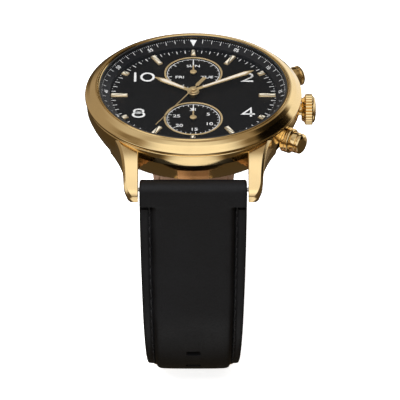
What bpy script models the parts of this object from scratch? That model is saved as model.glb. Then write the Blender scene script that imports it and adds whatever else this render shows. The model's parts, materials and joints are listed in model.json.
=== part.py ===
"""Pilot-style wristwatch with day and date sub-dials, built as an assembly of separate pieces.

Row frame: the origin is the centre of the case back's outer face, on the axis of the hands. +Z points out
of the dial, +Y to 12 o'clock and +X to the crown. The strap is buckled into a loop below the case.
"""

import math

import bmesh
import bpy
from mathutils import Matrix, Vector

MM = 0.001

# ---- Driving dimensions, in millimetres unless a name says otherwise -------------------------------------
SEAT_GAP = 0.03  # between two pieces that rest on each other
RUN_GAP = 0.06  # radial, round a shaft that turns or slides
FIT_GAP = 0.05  # radial, round a piece that is pressed or dropped in
HAND_FIT = 0.04  # radial, between a hand and its pipe or arbor

ROUND_SIDES = 48  # case-sized circles
PART_SIDES = 24  # crown-sized circles
SMALL_SIDES = 12  # arbors, posts and pins

# Case
CASE_RADIUS = 21.65
CASE_BOTTOM = 1.3
CASE_WAIST_HEIGHT = 6.5  # where the flank turns in towards the back
CASE_FOOT_INSET = 2.85  # how far the flank has turned in at the case's foot
CASE_FOOT_WALL = 2.7  # from the foot's edge to the bore for the movement
DIAL_TOP = 9.0
DIAL_THICKNESS = 0.4
DIAL_MARGIN = 1.0  # from the dial's edge to the bezel's bore
BACK_EDGE_WALL = 1.9  # from the foot's edge to the case back's edge
BACK_FLANGE = 1.27
BACK_FLOOR = 0.97
BACK_WALL_TOP = 3.0
BACK_WALL = 0.7
GASKET_HEIGHT = 0.45
GASKET_SIDE_GAP = 0.1

# Bezel and crystal
BEZEL_OVERHANG = 0.3  # past the case's side
BEZEL_WIDTH = 2.95  # from its rim to its bore
BEZEL_LIP = 0.35
BEZEL_HEIGHT = 2.4
BEZEL_RIM_DROP = 2.1
CRYSTAL_THICKNESS = 0.75
CRYSTAL_DOME = 0.2
CRYSTAL_GASKET_WALL = 0.35
CRYSTAL_PROUD = 0.35
CRYSTAL_BEVEL = 0.15
CHAPTER_COVER = 1.1  # how far it lies over the dial's edge
CHAPTER_INNER_HEIGHT = 0.8
CHAPTER_OUTER_HEIGHT = 1.6

# Lugs
LUG_GAP = 22.0
LUG_OVERHANG = 3.75  # from the case's side to the lug's tip
LUG_TIP_WIDTH = 2.9
LUG_ROOT_ANGLE = 20.37  # degrees from the crown's axis, where the flank leaves the case's side
LUG_ROOT_INSIDE = 12.0
LUG_UPPER_LINE = ((5.8, 8.0), (3.4, 6.5), (1.4, 4.5), (0.0, 2.4))  # (back from the tip, height)
LUG_LOWER_LINE = ((0.0, 1.1), (0.6, 0.35), (2.2, 0.05), (4.2, 0.3), (7.4, 1.6), (13.4, 2.2))
LUG_LEVEL_LENGTH = 8.4  # back from the tip, to where the top turns down
BAR_INSET = 2.2  # from the lug's tip to the spring bar
BAR_HEIGHT = 2.0
BAR_RADIUS = 0.75
BAR_SHOULDER_GAP = 0.35
BAR_TIP_RADIUS = 0.42
BAR_TIP_LENGTH = 1.1
BAR_HOLE_RADIUS = 0.5
BAR_HOLE_SPARE = 0.25  # past the bar's tip

# Dial furniture
SUBDIAL_REACH = 8.3
SUBDIAL_RADIUS = 5.55
SUBDIAL_DEPTH = 0.15
SUBDIAL_RING_WIDTH = 0.38
SUBDIAL_RING_HEIGHT = 0.12
SUBDIAL_RING_EDGE = 0.05
MARKER_HEIGHT = 0.3
MARKER_WIDTH = 1.0
MARKER_TO_CHAPTER = 0.25
MARKER_LENGTH = 3.4
SHORT_MARKER_LENGTH = 1.9
SQUARE_MARKER_LENGTH = 1.4

# Hands: the time shown is about ten past ten
HOUR_HAND_ANGLE = 304.5  # degrees clockwise from 12
MINUTE_HAND_ANGLE = 59.5
SECONDS_HAND_ANGLE = 210.0
HOUR_HAND_LENGTH = 9.4
MINUTE_HAND_LENGTH = 14.2
SECONDS_HAND_LENGTH = 15.0
SECONDS_TAIL_LENGTH = 4.7
SUBDIAL_HAND_LENGTH = 4.5
HAND_THICKNESS = 0.18
SUBDIAL_HAND_LIFT = 0.3
HOUR_HAND_LIFT = 0.95
MINUTE_HAND_LIFT = 1.32
SECONDS_HAND_LIFT = 1.68
HAND_HUB_RADIUS = 1.2
MINUTE_HUB_RADIUS = 1.1
SECONDS_HUB_RADIUS = 0.75
SUBDIAL_HUB_RADIUS = 0.68
HAND_ROOT_HALF_WIDTH = 0.35
HAND_HALF_WIDTH = 0.6
TAIL_HALF_WIDTH = 0.45
TIP_SHARE = 0.82  # of a hand's length, where it starts to narrow to its tip

# Movement
PLATE_RADIUS = 14.6
PLATE_BOTTOM = 4.6
PLATE_TOP = 7.2
PLATE_EDGE_GAP = 0.1
HOLDER_WALL_GAP = 0.1
HOLDER_BOTTOM = 4.0
HOLDER_HOLE_RADIUS = 1.5
BATTERY_RADIUS = 4.75
BATTERY_THICKNESS = 1.6
BATTERY_PLACE = (-6.5, -5.5)
BATTERY_STEP = (0.4, 0.3)  # inwards and up, where its cap steps in
COVER_THICKNESS = 0.25
COVER_BORE_RADIUS = 1.2
COVER_EDGE_INSET = 0.6
MINUTE_WHEEL_REACH = 3.0
MINUTE_WHEEL_LIFT = 0.2  # above the plate
HOUR_WHEEL_DROP = 0.6  # below the dial
CALENDAR_WHEEL_LIFT = 0.3
CANNON_TEETH = 10
MINUTE_WHEEL_TEETH = 30
MINUTE_PINION_TEETH = 8
HOUR_WHEEL_TEETH = 32
WHEEL_THICKNESS = 0.25
GEAR_BACKLASH = 0.12  # share of a half tooth
POST_RADIUS = 0.25
POST_BORE_RADIUS = 0.3
SECONDS_WHEEL_RADIUS = 2.2
SECONDS_WHEEL_THICKNESS = 0.2
STEP_OVERLAP = 0.1  # how deep two steps of one turned piece run into each other
CANNON_PIPE_RADIUS = 0.5
CANNON_BORE_RADIUS = 0.27
HOUR_PIPE_RADIUS = 0.78
SECONDS_ARBOR_RADIUS = 0.2
SUBDIAL_ARBOR_RADIUS = 0.22
DAY_TEETH = 7
DATE_TEETH = 31
DAY_WHEEL_RADIUS = 2.0
DATE_WHEEL_RADIUS = 3.2
CALENDAR_MODULE_SHARE = 0.6  # of the full module, for shallow star teeth
CALENDAR_WHEEL_THICKNESS = 0.2

# Crown and pushers
CONTROL_HEIGHT = 5.7
CROWN_RADIUS = 3.15
CROWN_LENGTH = 2.95
CROWN_OVERHANG = 3.2  # from the case's side to its face
CROWN_FLUTES = 24
FLUTE_DEPTH = 0.22
CROWN_RIM_INSET = 0.28
CROWN_BORE_DEPTH = 1.25
CROWN_HOLLOW_DEPTH = 1.2
CROWN_TRAVEL = 1.0
TUBE_RADIUS = 1.25
TUBE_BORE_RADIUS = 0.82
TUBE_PROUD = 1.0  # how far it runs into the crown
STEM_RADIUS = 0.7
STEM_THREAD_GAP = 0.03
STEM_INNER_END = 8.8
STEM_TIP_RADIUS = 0.4
GROOVE_RADIUS = 0.35
GROOVE_PLAY = 0.1
LEVER_REACH = 11.075  # middle of the fork in the stem's groove
LEVER_THICKNESS = 0.25
LEVER_HALF_WIDTH = 0.95
LEVER_SLOT_HALF_WIDTH = 0.45
LEVER_BOTTOM_DROP = 1.0  # below the stem's axis
LEVER_TOP_RISE = 0.55
LEVER_SLOT_DROP = 0.42
LEVER_FOOT_LENGTH = 1.1
LEVER_FOOT_THICKNESS = 0.2
LEVER_POCKET_GAP = 0.2
PUSHER_ANGLE = 30.0  # degrees either side of the crown
PUSHER_TRAVEL = 0.8
PUSHER_RADIUS = 2.1
PUSHER_LENGTH = 2.5  # from its collar's face to its own
PUSHER_WALL = 0.4
PUSHER_HEAD = 1.0
PUSHER_CUP_GAP = 0.08
PUSHER_BOTTOM_GAP = 0.05
COLLAR_WALL = 0.45  # outside the button
COLLAR_SINK = 0.25  # below the case's side
COLLAR_LENGTH = 1.7
COLLAR_FLOOR = 0.5
COLLAR_CHAMFER = (0.25, 0.3)
POCKET_GAP = 0.1
CLIP_RADIUS = 1.2
CLIP_THICKNESS = 0.2
CLIP_SETBACK = 0.3  # from the movement's bore
PUSHER_GROOVE_RADIUS = 0.4
SPRING_WIRE_RADIUS = 0.15
SPRING_END_GAP = 0.04
SPRING_RADIUS = 1.28
SPRING_TURNS = 4

# Strap loop
STRAP_SIDE_GAP = 0.25  # from a lug
STRAP_WIDTH_AT_BUCKLE = 16.6
TAPER_CURVE = 1.7  # 1 narrows the strap evenly, and more narrows it later
LONG_TAPER_LENGTH = 65.0
SHORT_TAPER_LENGTH = 34.0
STRAP_THICKNESS_AT_LUGS = 4.0
STRAP_THICKNESS_AT_BUCKLE = 2.6
LONG_THICKNESS_TAPER = 60.0
SHORT_THICKNESS_TAPER = 24.0
LINING_THICKNESS = 0.8
LINING_START = 4.5
MARGIN_WIDTH = 2.3
MARGIN_START = 5.6
PAD_SLOPE_WIDTH = 0.5
MARGIN_STEP_SHARE = 0.45  # of the pad's height above the lining, left on the stitched margins
STRAP_LEAN_DEG = 8.0
LOOP_DEPTH = 48.3  # from the case back to the middle of the strap under the wrist
FRONT_FLAT = 6.0
BACK_FLAT = 11.0
TAIL_LENGTH = 47.39  # from under the hand axis to the long strap's tip
LAYER_GAP = 0.15
LINING_INSET = 0.1
BAR_BORE_GAP = 0.15
SHORT_LINING_START = 3.0
SHORT_MARGIN_SHARE = 0.7
TAIL_TIP_LENGTH = 9.0
ENGAGED_SLOT_Y = -0.81  # the slot that the tongue is in, from under the hand axis
SLOT_PITCH = 6.0
SLOT_COUNT = 8
ENGAGED_SLOT = 5  # counted from 0
SLOT_WIDTH = 3.0
SLOT_LENGTH = 1.6
STATION_PITCH = 3.0

# Buckle and keepers
BUCKLE_PIN_RADIUS = 0.7
PIN_BEHIND_SLOT = 1.7
PIN_BORE_GAP = 0.1
PIN_END_INSET = 0.2
BUCKLE_ARM = 1.1
BUCKLE_SIDE_GAP = 0.2
BUCKLE_BAR_REACH = 10.0  # from the pin to the middle of the front bar
BUCKLE_BAR_WIDTH = 2.4
BUCKLE_BAR_THICKNESS = 1.7
BUCKLE_BAR_GAP = 0.1
BUCKLE_EYE_RADIUS = 1.35
TONGUE_WIDTH = 2.5
TONGUE_THICKNESS = 0.8
TONGUE_REST_GAP = (0.2, 0.15)  # beside and above the tongue in the bar's notch
TONGUE_NOTCH_GAP = 0.3
TONGUE_NOTCH_LENGTH = 2.2
TONGUE_END_PLAY = 0.1  # from the tongue to the front end of its slot, which leaves it room to swing
KEEPER_WIDTH = 5.0
KEEPER_WALL = 1.2
KEEPER_GAP = 0.3
KEEPER_SIDE_GAP = 0.45
KEEPER_SAG = 0.25  # how much looser the free keeper is
KEEPER_CORNERS = (0.8, 0.25)
CUT_PAST = 5.0  # how far a cutter runs past what it cuts
FIXED_KEEPER_Y = 7.6
FREE_KEEPER_ANGLE_DEG = 38.0  # up the back arc, from its start

# ---- Radii, heights and places worked out from them ------------------------------------------------------
CASE_FOOT_RADIUS = CASE_RADIUS - CASE_FOOT_INSET
CASE_BORE_RADIUS = CASE_FOOT_RADIUS - CASE_FOOT_WALL
BACK_RADIUS = CASE_FOOT_RADIUS - BACK_EDGE_WALL
BEZEL_RADIUS = CASE_RADIUS + BEZEL_OVERHANG
BEZEL_BORE_RADIUS = BEZEL_RADIUS - BEZEL_WIDTH
DIAL_RADIUS = BEZEL_BORE_RADIUS - DIAL_MARGIN
CHAPTER_INNER_RADIUS = DIAL_RADIUS - CHAPTER_COVER
MARKER_OUTER_RADIUS = CHAPTER_INNER_RADIUS - MARKER_TO_CHAPTER
LUG_INNER = LUG_GAP / 2
LUG_TIP_OUTER = LUG_INNER + LUG_TIP_WIDTH
LUG_REACH = CASE_RADIUS + LUG_OVERHANG
BAR_REACH = LUG_REACH - BAR_INSET
COLLAR_RADIUS = PUSHER_RADIUS + COLLAR_WALL
COLLAR_SEAT = CASE_RADIUS - COLLAR_SINK
COLLAR_FACE = COLLAR_SEAT + COLLAR_LENGTH
PUSHER_FACE = COLLAR_FACE + PUSHER_LENGTH
CROWN_FACE = CASE_RADIUS + CROWN_OVERHANG
TUBE_INNER_END = CASE_BORE_RADIUS + HOLDER_WALL_GAP
STRAP_WIDTH_AT_LUGS = LUG_GAP - 2 * STRAP_SIDE_GAP
LOOP_BOTTOM = -LOOP_DEPTH
DIAL_BOTTOM = DIAL_TOP - DIAL_THICKNESS
BEZEL_BOTTOM = DIAL_TOP + SEAT_GAP
BEZEL_TOP = BEZEL_BOTTOM + BEZEL_HEIGHT
CRYSTAL_TOP = BEZEL_TOP + CRYSTAL_PROUD
CRYSTAL_BOTTOM = CRYSTAL_TOP - CRYSTAL_THICKNESS
HOUR_WHEEL_BOTTOM = DIAL_BOTTOM - HOUR_WHEEL_DROP
MINUTE_WHEEL_BOTTOM = PLATE_TOP + MINUTE_WHEEL_LIFT

GOLD = ("gold_plate", (0.83, 0.62, 0.30), 0.18, 1.0)
STEEL = ("steel", (0.62, 0.63, 0.65), 0.25, 1.0)
BRASS = ("brass", (0.78, 0.60, 0.30), 0.35, 1.0)
GLASS = ("glass", (0.9, 0.95, 0.98), 0.03, 0.0)
BLACK_DIAL = ("dial_black", (0.012, 0.012, 0.014), 0.45, 0.0)
LUME = ("marker", (0.85, 0.78, 0.62), 0.4, 0.0)
RUBBER = ("gasket_rubber", (0.03, 0.03, 0.03), 0.7, 0.0)
PLASTIC = ("movement_plastic", (0.82, 0.82, 0.80), 0.5, 0.0)
LEATHER = ("strap_leather", (0.015, 0.015, 0.016), 0.55, 0.0)
LINING = ("lining_leather", (0.62, 0.44, 0.33), 0.7, 0.0)


# ---- Helpers ---------------------------------------------------------------------------------------------
def material(finish):
    """The Principled material of a finish, made once."""
    name, colour, roughness, metallic = finish
    made = bpy.data.materials.get(name)
    if made is None:
        made = bpy.data.materials.new(name)
        made.use_nodes = True
        shader = made.node_tree.nodes["Principled BSDF"]
        shader.inputs["Base Color"].default_value = (*colour, 1.0)
        shader.inputs["Roughness"].default_value = roughness
        shader.inputs["Metallic"].default_value = metallic
    return made


def link(name, bm, finish):
    """A named object from a bmesh that was drawn in millimetres."""
    bmesh.ops.remove_doubles(bm, verts=bm.verts, dist=1e-5)
    bmesh.ops.recalc_face_normals(bm, faces=bm.faces)
    bmesh.ops.scale(bm, vec=(MM, MM, MM), verts=bm.verts)
    mesh = bpy.data.meshes.new(name)
    bm.to_mesh(mesh)
    bm.free()
    mesh.shade_smooth()
    mesh.set_sharp_from_angle(angle=math.radians(35))
    mesh.materials.append(material(finish))
    obj = bpy.data.objects.new(name, mesh)
    bpy.context.scene.collection.objects.link(obj)
    return obj


def as_cutter(obj):
    """Hides a helper, so that it only cuts or joins."""
    obj.hide_render = True
    obj.display_type = "WIRE"
    return obj


def boolean(obj, other, operation):
    """Adds one Boolean modifier with the exact solver."""
    modifier = obj.modifiers.new(f"{operation}_{other.name}", "BOOLEAN")
    modifier.operation = operation
    modifier.object = other
    modifier.solver = "EXACT"
    return obj


def circle(radius, sides, centre=(0.0, 0.0), phase=0.0):
    """Points of a circle in the XY plane."""
    step = 2 * math.pi / sides
    return [
        (centre[0] + radius * math.cos(phase + step * i), centre[1] + radius * math.sin(phase + step * i))
        for i in range(sides)
    ]


def turned(profile, sides):
    """A solid of revolution about Z from (radius, height) points. A profile off the axis is a closed ring."""
    bm = bmesh.new()
    verts = [bm.verts.new((r, 0.0, z)) for r, z in profile]
    for a, b in zip(verts, verts[1:]):
        bm.edges.new((a, b))
    if profile[0][0] > 0 or profile[-1][0] > 0:
        bm.edges.new((verts[-1], verts[0]))
    bmesh.ops.spin(
        bm, geom=bm.verts[:] + bm.edges[:], cent=(0, 0, 0), axis=(0, 0, 1), dvec=(0, 0, 0),
        angle=2 * math.pi, steps=sides, use_merge=True, use_duplicate=False,
    )
    return bm


def plate(outlines, bottom, top):
    """A flat plate between two heights. The first outline is its edge, and the others are holes."""
    bm = bmesh.new()
    for outline in outlines:
        verts = [bm.verts.new((x, y, bottom)) for x, y in outline]
        for a, b in zip(verts, verts[1:] + verts[:1]):
            bm.edges.new((a, b))
    bmesh.ops.triangle_fill(bm, use_beauty=True, use_dissolve=False, edges=bm.edges[:])
    made = bmesh.ops.extrude_face_region(bm, geom=bm.faces[:])
    top_verts = [v for v in made["geom"] if isinstance(v, bmesh.types.BMVert)]
    bmesh.ops.translate(bm, vec=(0, 0, top - bottom), verts=top_verts)
    return bm


def loft(rings):
    """A solid through a list of rings of points, closed at both ends."""
    bm = bmesh.new()
    rows = [[bm.verts.new(p) for p in ring] for ring in rings]
    count = len(rows[0])
    for a, b in zip(rows, rows[1:]):
        for i in range(count):
            bm.faces.new((a[i], a[(i + 1) % count], b[(i + 1) % count], b[i]))
    bm.faces.new(rows[0])
    bm.faces.new(list(reversed(rows[-1])))
    return bm


def moved(bm, matrix):
    """The same bmesh, turned and moved."""
    bm.transform(matrix)
    return bm


def along_x(bm, y=0.0, z=0.0):
    """Lays a piece drawn about Z along +X, with its axis at that height."""
    return moved(bm, Matrix.Translation((0, y, z)) @ Matrix.Rotation(math.pi / 2, 4, "Y"))


def side_prism(profile, low_x, high_x):
    """A prism along X from a profile in (y, z)."""
    bm = plate([[(y, z) for y, z in profile]], low_x, high_x)
    return moved(bm, Matrix(((0, 0, 1, 0), (1, 0, 0, 0), (0, 1, 0, 0), (0, 0, 0, 1))))


def box(low, high):
    """A box between two corners."""
    (x0, y0, z0), (x1, y1, z1) = low, high
    return plate([[(x0, y0), (x1, y0), (x1, y1), (x0, y1)]], z0, z1)


def clock_turn(degrees, centre=(0.0, 0.0)):
    """The matrix that turns a piece drawn towards +Y to that clock angle, about a centre."""
    return Matrix.Translation((*centre, 0)) @ Matrix.Rotation(-math.radians(degrees), 4, "Z")


def gear_outline(teeth, module, centre=(0.0, 0.0), phase=0.0):
    """A gear's outline with straight-sided teeth. Phase is the direction of one tooth's middle."""
    pitch = module * teeth / 2
    tip, root = pitch + 0.85 * module, pitch - 1.2 * module
    half = math.pi / teeth / 2 * (1 - GEAR_BACKLASH)
    points = []
    for k in range(teeth):
        middle = phase + 2 * math.pi * k / teeth
        for radius, offset in ((root, -1.45), (tip, -0.45), (tip, 0.45), (root, 1.45)):
            angle = middle + offset * half
            points.append((centre[0] + radius * math.cos(angle), centre[1] + radius * math.sin(angle)))
    return points


def tube(points, radius, sides):
    """A round tube with flat ends along a list of points."""
    rings = []
    side = Vector((0, 0, 1))
    for i, p in enumerate(points):
        ahead = points[min(i + 1, len(points) - 1)] - points[max(i - 1, 0)]
        ahead.normalize()
        side = (side - ahead * side.dot(ahead)).normalized()
        other = ahead.cross(side)
        turns = [2 * math.pi * k / sides for k in range(sides)]
        rings.append([p + (side * math.cos(t) + other * math.sin(t)) * radius for t in turns])
    return loft(rings)


# ---- Strap paths -----------------------------------------------------------------------------------------
class Path:
    """A line in the YZ plane made of straights and arcs, measured along its length."""

    def __init__(self, y, z, heading):
        self.parts = []
        self.start = (y, z, heading)
        self.length = 0.0

    def add(self, length, radius=None):
        """Adds a straight, or an arc that turns left with that radius."""
        y, z, heading = self.at(self.length)
        self.parts.append((self.length, length, radius, y, z, heading))
        self.length += length
        return self

    def at(self, s):
        """(y, z, heading) at a distance along the path. Past the ends it runs on straight."""
        if not self.parts:
            return self.start
        begin, length, radius, y, z, heading = self.parts[0]
        for part in self.parts:
            if s >= part[0]:
                begin, length, radius, y, z, heading = part
        run = s - begin
        past = max(0.0, run - length) if radius else 0.0
        run -= past
        if radius and run > 0:
            turned_to = heading + run / radius
            y += radius * (math.sin(turned_to) - math.sin(heading))
            z -= radius * (math.cos(turned_to) - math.cos(heading))
            heading, run = turned_to, past
        return y + run * math.cos(heading), z + run * math.sin(heading), heading

    def point(self, s, x, out):
        """The point at distance s, x across the strap and out from its middle, away from the wrist."""
        y, z, heading = self.at(s)
        return Vector((x, y + out * math.sin(heading), z - out * math.cos(heading)))

    def frame(self, s, out=0.0):
        """The matrix that carries (across, along, out) to the path at distance s."""
        heading = self.at(s)[2]
        matrix = Matrix((
            (1, 0, 0, 0),
            (0, math.cos(heading), math.sin(heading), 0),
            (0, math.sin(heading), -math.cos(heading), 0),
            (0, 0, 0, 1),
        ))
        return Matrix.Translation(self.point(s, 0.0, out)) @ matrix


def side_of_loop(bottom, flat):
    """(straight length, arc radius) that join a spring bar to the loop's bottom."""
    lean = math.radians(STRAP_LEAN_DEG)
    sine, cosine = math.sin(lean), math.cos(lean)
    drop = BAR_HEIGHT - bottom
    reach = BAR_REACH - flat
    straight = (drop - (1 + sine) * reach / cosine) / (cosine + (1 + sine) * sine / cosine)
    return straight, (reach + straight * sine) / cosine


LEAN = math.radians(STRAP_LEAN_DEG)
ARC_ANGLE = math.pi / 2 + LEAN
LAYER_OFFSET = STRAP_THICKNESS_AT_BUCKLE + LAYER_GAP
FRONT_STRAIGHT, FRONT_RADIUS = side_of_loop(LOOP_BOTTOM, FRONT_FLAT)
BACK_STRAIGHT, BACK_RADIUS_INNER = side_of_loop(LOOP_BOTTOM + LAYER_OFFSET, BACK_FLAT)
BACK_RADIUS_OUTER = BACK_RADIUS_INNER + LAYER_OFFSET

LONG_PATH = Path(-BAR_REACH, BAR_HEIGHT, -math.pi / 2 - LEAN)
LONG_PATH.add(FRONT_STRAIGHT).add(FRONT_RADIUS * ARC_ANGLE, FRONT_RADIUS)
BOTTOM_MIDDLE = LONG_PATH.length + FRONT_FLAT  # distance along the long strap to Y = 0
LONG_PATH.add(FRONT_FLAT + BACK_FLAT).add(BACK_RADIUS_OUTER * ARC_ANGLE, BACK_RADIUS_OUTER).add(10.0)

LONG_STRAP_LENGTH = BOTTOM_MIDDLE + TAIL_LENGTH
SLOT_PLACES = [BOTTOM_MIDDLE + ENGAGED_SLOT_Y + SLOT_PITCH * (k - ENGAGED_SLOT) for k in range(SLOT_COUNT)]
PIN_Y = ENGAGED_SLOT_Y + PIN_BEHIND_SLOT
PIN_Z = LOOP_BOTTOM + LAYER_OFFSET

# The short strap's path starts at the buckle pin and ends at the 12 o'clock spring bar.
SHORT_PATH = Path(PIN_Y, PIN_Z, 0.0)
SHORT_PATH.add(BACK_FLAT - PIN_Y).add(BACK_RADIUS_INNER * ARC_ANGLE, BACK_RADIUS_INNER).add(BACK_STRAIGHT)


def width_at(from_bar, taper_length):
    """The strap's width at a distance from its spring bar."""
    share = min(1.0, max(0.0, from_bar) / taper_length) ** TAPER_CURVE
    return STRAP_WIDTH_AT_LUGS + (STRAP_WIDTH_AT_BUCKLE - STRAP_WIDTH_AT_LUGS) * share


def thickness_at(from_bar, taper_length):
    """The strap's whole thickness at a distance from its spring bar."""
    share = min(1.0, max(0.0, from_bar) / taper_length)
    return STRAP_THICKNESS_AT_LUGS + (STRAP_THICKNESS_AT_BUCKLE - STRAP_THICKNESS_AT_LUGS) * share


def upper_section(width, thickness, lined, margin_share):
    """(x, out) points of the padded upper leather: stitched margins beside a raised middle."""
    inner = -thickness / 2 + (LINING_THICKNESS + SEAT_GAP) * lined
    outer = thickness / 2
    margin = inner + (outer - inner) * (1 - (1 - MARGIN_STEP_SHARE) * margin_share)
    half = width / 2
    edge = max(half - MARGIN_WIDTH, 0.35 * half)
    rise = edge - min(PAD_SLOPE_WIDTH, 0.1 * half)
    shoulder = outer - 0.35 * margin_share
    right = [(half, inner), (half, margin), (edge, margin), (rise, shoulder), (0.6 * rise, outer)]
    return right + [(-x, out) for x, out in reversed(right)]


def lining_section(width, thickness):
    """(x, out) points of the lining under the upper leather."""
    half, low = width / 2 - LINING_INSET, -thickness / 2
    high = low + LINING_THICKNESS
    return [(-half, low), (half, low), (half, high), (-half, high)]


def stations(start, end):
    """Distances from start to end, evenly spaced at about the station pitch."""
    count = max(1, round((end - start) / STATION_PITCH))
    return [start + (end - start) * i / count for i in range(count + 1)]


def strap_end_rings(path, at, direction, taper_length):
    """Rings of the rounded end that wraps the spring bar. Direction is +1 if the path runs from the bar."""
    radius = STRAP_THICKNESS_AT_LUGS / 2
    rings = []
    for k in range(4):
        angle = math.radians(12 + 26 * k)
        half = radius * math.sin(angle)
        s = at - direction * radius * math.cos(angle)
        ring = upper_section(width_at(0.0, taper_length), 2 * half, 0, 0)
        rings.append([path.point(s, x, out) for x, out in ring])
    return rings


# ---- Case ------------------------------------------------------------------------------------------------
def lug_outline():
    """Plan outline of the lower right lug. The flank curves in from the case side to the tip."""
    angle = math.radians(LUG_ROOT_ANGLE)
    root = Vector((math.cos(angle), -math.sin(angle))) * (CASE_RADIUS - 0.1)
    tip = Vector((LUG_TIP_OUTER, -LUG_REACH))
    bend = Vector((LUG_TIP_OUTER + 0.6, 4.15 - CASE_RADIUS))
    flank = [
        root * (1 - t) ** 2 + bend * 2 * t * (1 - t) + tip * t**2 for t in (i / 8 for i in range(9))
    ]
    return [(LUG_INNER, -LUG_REACH), (LUG_INNER, -LUG_ROOT_INSIDE), (13.0, -5.0)] + [tuple(p) for p in flank]


def lug_profile():
    """Side profile of a lower lug in (y, z): it runs level from the case and turns down to the tip."""
    top = DIAL_TOP - 0.25
    root = LUG_LOWER_LINE[-1][0]
    line = [(root, top), (LUG_LEVEL_LENGTH, top), *LUG_UPPER_LINE, *LUG_LOWER_LINE]
    return [(back - LUG_REACH, z) for back, z in line]


def make_lug(sign_x, sign_y):
    """One lug: its plan outline cut by its side profile."""
    outline = [(sign_x * x, -sign_y * y) for x, y in lug_outline()]
    profile = [(-sign_y * y, z) for y, z in lug_profile()]
    corner = f"{'right' if sign_x > 0 else 'left'}_{'12' if sign_y > 0 else '6'}"
    lug = as_cutter(link(f"lug_{corner}", plate([outline], -CUT_PAST, DIAL_TOP + CUT_PAST), GOLD))
    reach = CASE_RADIUS + CUT_PAST
    low, high = sorted((sign_x * (LUG_INNER - 1.0), sign_x * reach))
    side = as_cutter(link(f"lug_side_{corner}", side_prism(profile, low, high), GOLD))
    return boolean(lug, side, "INTERSECT")


def radial_matrix(degrees):
    """Carries a piece drawn about Z to a control axis that points out of the case, so far round from +X."""
    turn = Matrix.Rotation(math.radians(degrees), 4, "Z") @ Matrix.Rotation(math.pi / 2, 4, "Y")
    return Matrix.Translation((0, 0, CONTROL_HEIGHT)) @ turn


def make_mid_case():
    """The middle case with four lugs, bored for the movement, the crown, the pushers and the spring bars."""
    flank = [
        (CASE_RADIUS - 0.25, DIAL_TOP), (CASE_RADIUS, DIAL_TOP - 0.25), (CASE_RADIUS, 7.6),
        (CASE_RADIUS - 0.15, CASE_WAIST_HEIGHT), (CASE_RADIUS - 0.9, 4.6), (CASE_RADIUS - 1.9, 2.8),
        (CASE_FOOT_RADIUS, CASE_BOTTOM),
    ]
    case = link("mid_case", turned([(0, CASE_BOTTOM), *reversed(flank), (0, DIAL_TOP)], ROUND_SIDES), GOLD)
    for sign_x in (1, -1):
        for sign_y in (1, -1):
            boolean(case, make_lug(sign_x, sign_y), "UNION")
    recess = BACK_RADIUS + FIT_GAP
    seat = DIAL_RADIUS + FIT_GAP
    step, top = BACK_FLANGE + SEAT_GAP + GASKET_HEIGHT, DIAL_TOP + CUT_PAST
    bore = [
        (0, -CUT_PAST), (recess, -CUT_PAST), (recess, step), (CASE_BORE_RADIUS, step),
        (CASE_BORE_RADIUS, DIAL_BOTTOM - SEAT_GAP), (seat, DIAL_BOTTOM - SEAT_GAP), (seat, top), (0, top),
    ]
    boolean(case, as_cutter(link("bore_cutter", turned(bore, ROUND_SIDES), GOLD)), "DIFFERENCE")
    hole = TUBE_RADIUS + FIT_GAP
    start, end = CASE_BORE_RADIUS - CUT_PAST, CASE_RADIUS + CUT_PAST
    crown_hole = turned([(0, start), (hole, start), (hole, end), (0, end)], PART_SIDES)
    crown_hole = as_cutter(link("crown_hole_cutter", moved(crown_hole, radial_matrix(0)), GOLD))
    boolean(case, crown_hole, "DIFFERENCE")
    pocket = COLLAR_RADIUS + POCKET_GAP
    floor = COLLAR_SEAT - SEAT_GAP
    for degrees in (PUSHER_ANGLE, -PUSHER_ANGLE):
        profile = [(0, start), (hole, start), (hole, floor), (pocket, floor), (pocket, end), (0, end)]
        cutter = moved(turned(profile, PART_SIDES), radial_matrix(degrees))
        boolean(case, as_cutter(link(f"pusher_cutter_{degrees:.0f}", cutter, GOLD)), "DIFFERENCE")
    reach = LUG_INNER + BAR_TIP_LENGTH + BAR_HOLE_SPARE
    for sign_y in (1, -1):
        r = BAR_HOLE_RADIUS
        hole = turned([(0, -reach), (r, -reach), (r, reach), (0, reach)], SMALL_SIDES)
        hole = along_x(hole, sign_y * BAR_REACH, BAR_HEIGHT)
        boolean(case, as_cutter(link(f"bar_hole_cutter_{sign_y}", hole, GOLD)), "DIFFERENCE")
    return case


def make_bezel():
    """The polished bezel ring: a thin inner lip, a sloping face and a steep outer chamfer."""
    lip = BEZEL_BORE_RADIUS + BEZEL_LIP
    rim = BEZEL_TOP - BEZEL_RIM_DROP
    profile = [
        (BEZEL_BORE_RADIUS, BEZEL_BOTTOM), (BEZEL_RADIUS - 0.2, BEZEL_BOTTOM), (BEZEL_RADIUS, rim),
        (BEZEL_RADIUS - 0.1, rim + 0.35), (BEZEL_RADIUS - 0.8, BEZEL_TOP - 1.1),
        (BEZEL_RADIUS - 1.65, BEZEL_TOP - 0.5),
        (lip + 0.15, BEZEL_TOP - 0.12), (lip, BEZEL_TOP), (BEZEL_BORE_RADIUS + 0.1, BEZEL_TOP),
        (BEZEL_BORE_RADIUS, BEZEL_TOP - 0.1),
    ]
    return link("bezel", turned(profile, ROUND_SIDES), GOLD)


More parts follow.
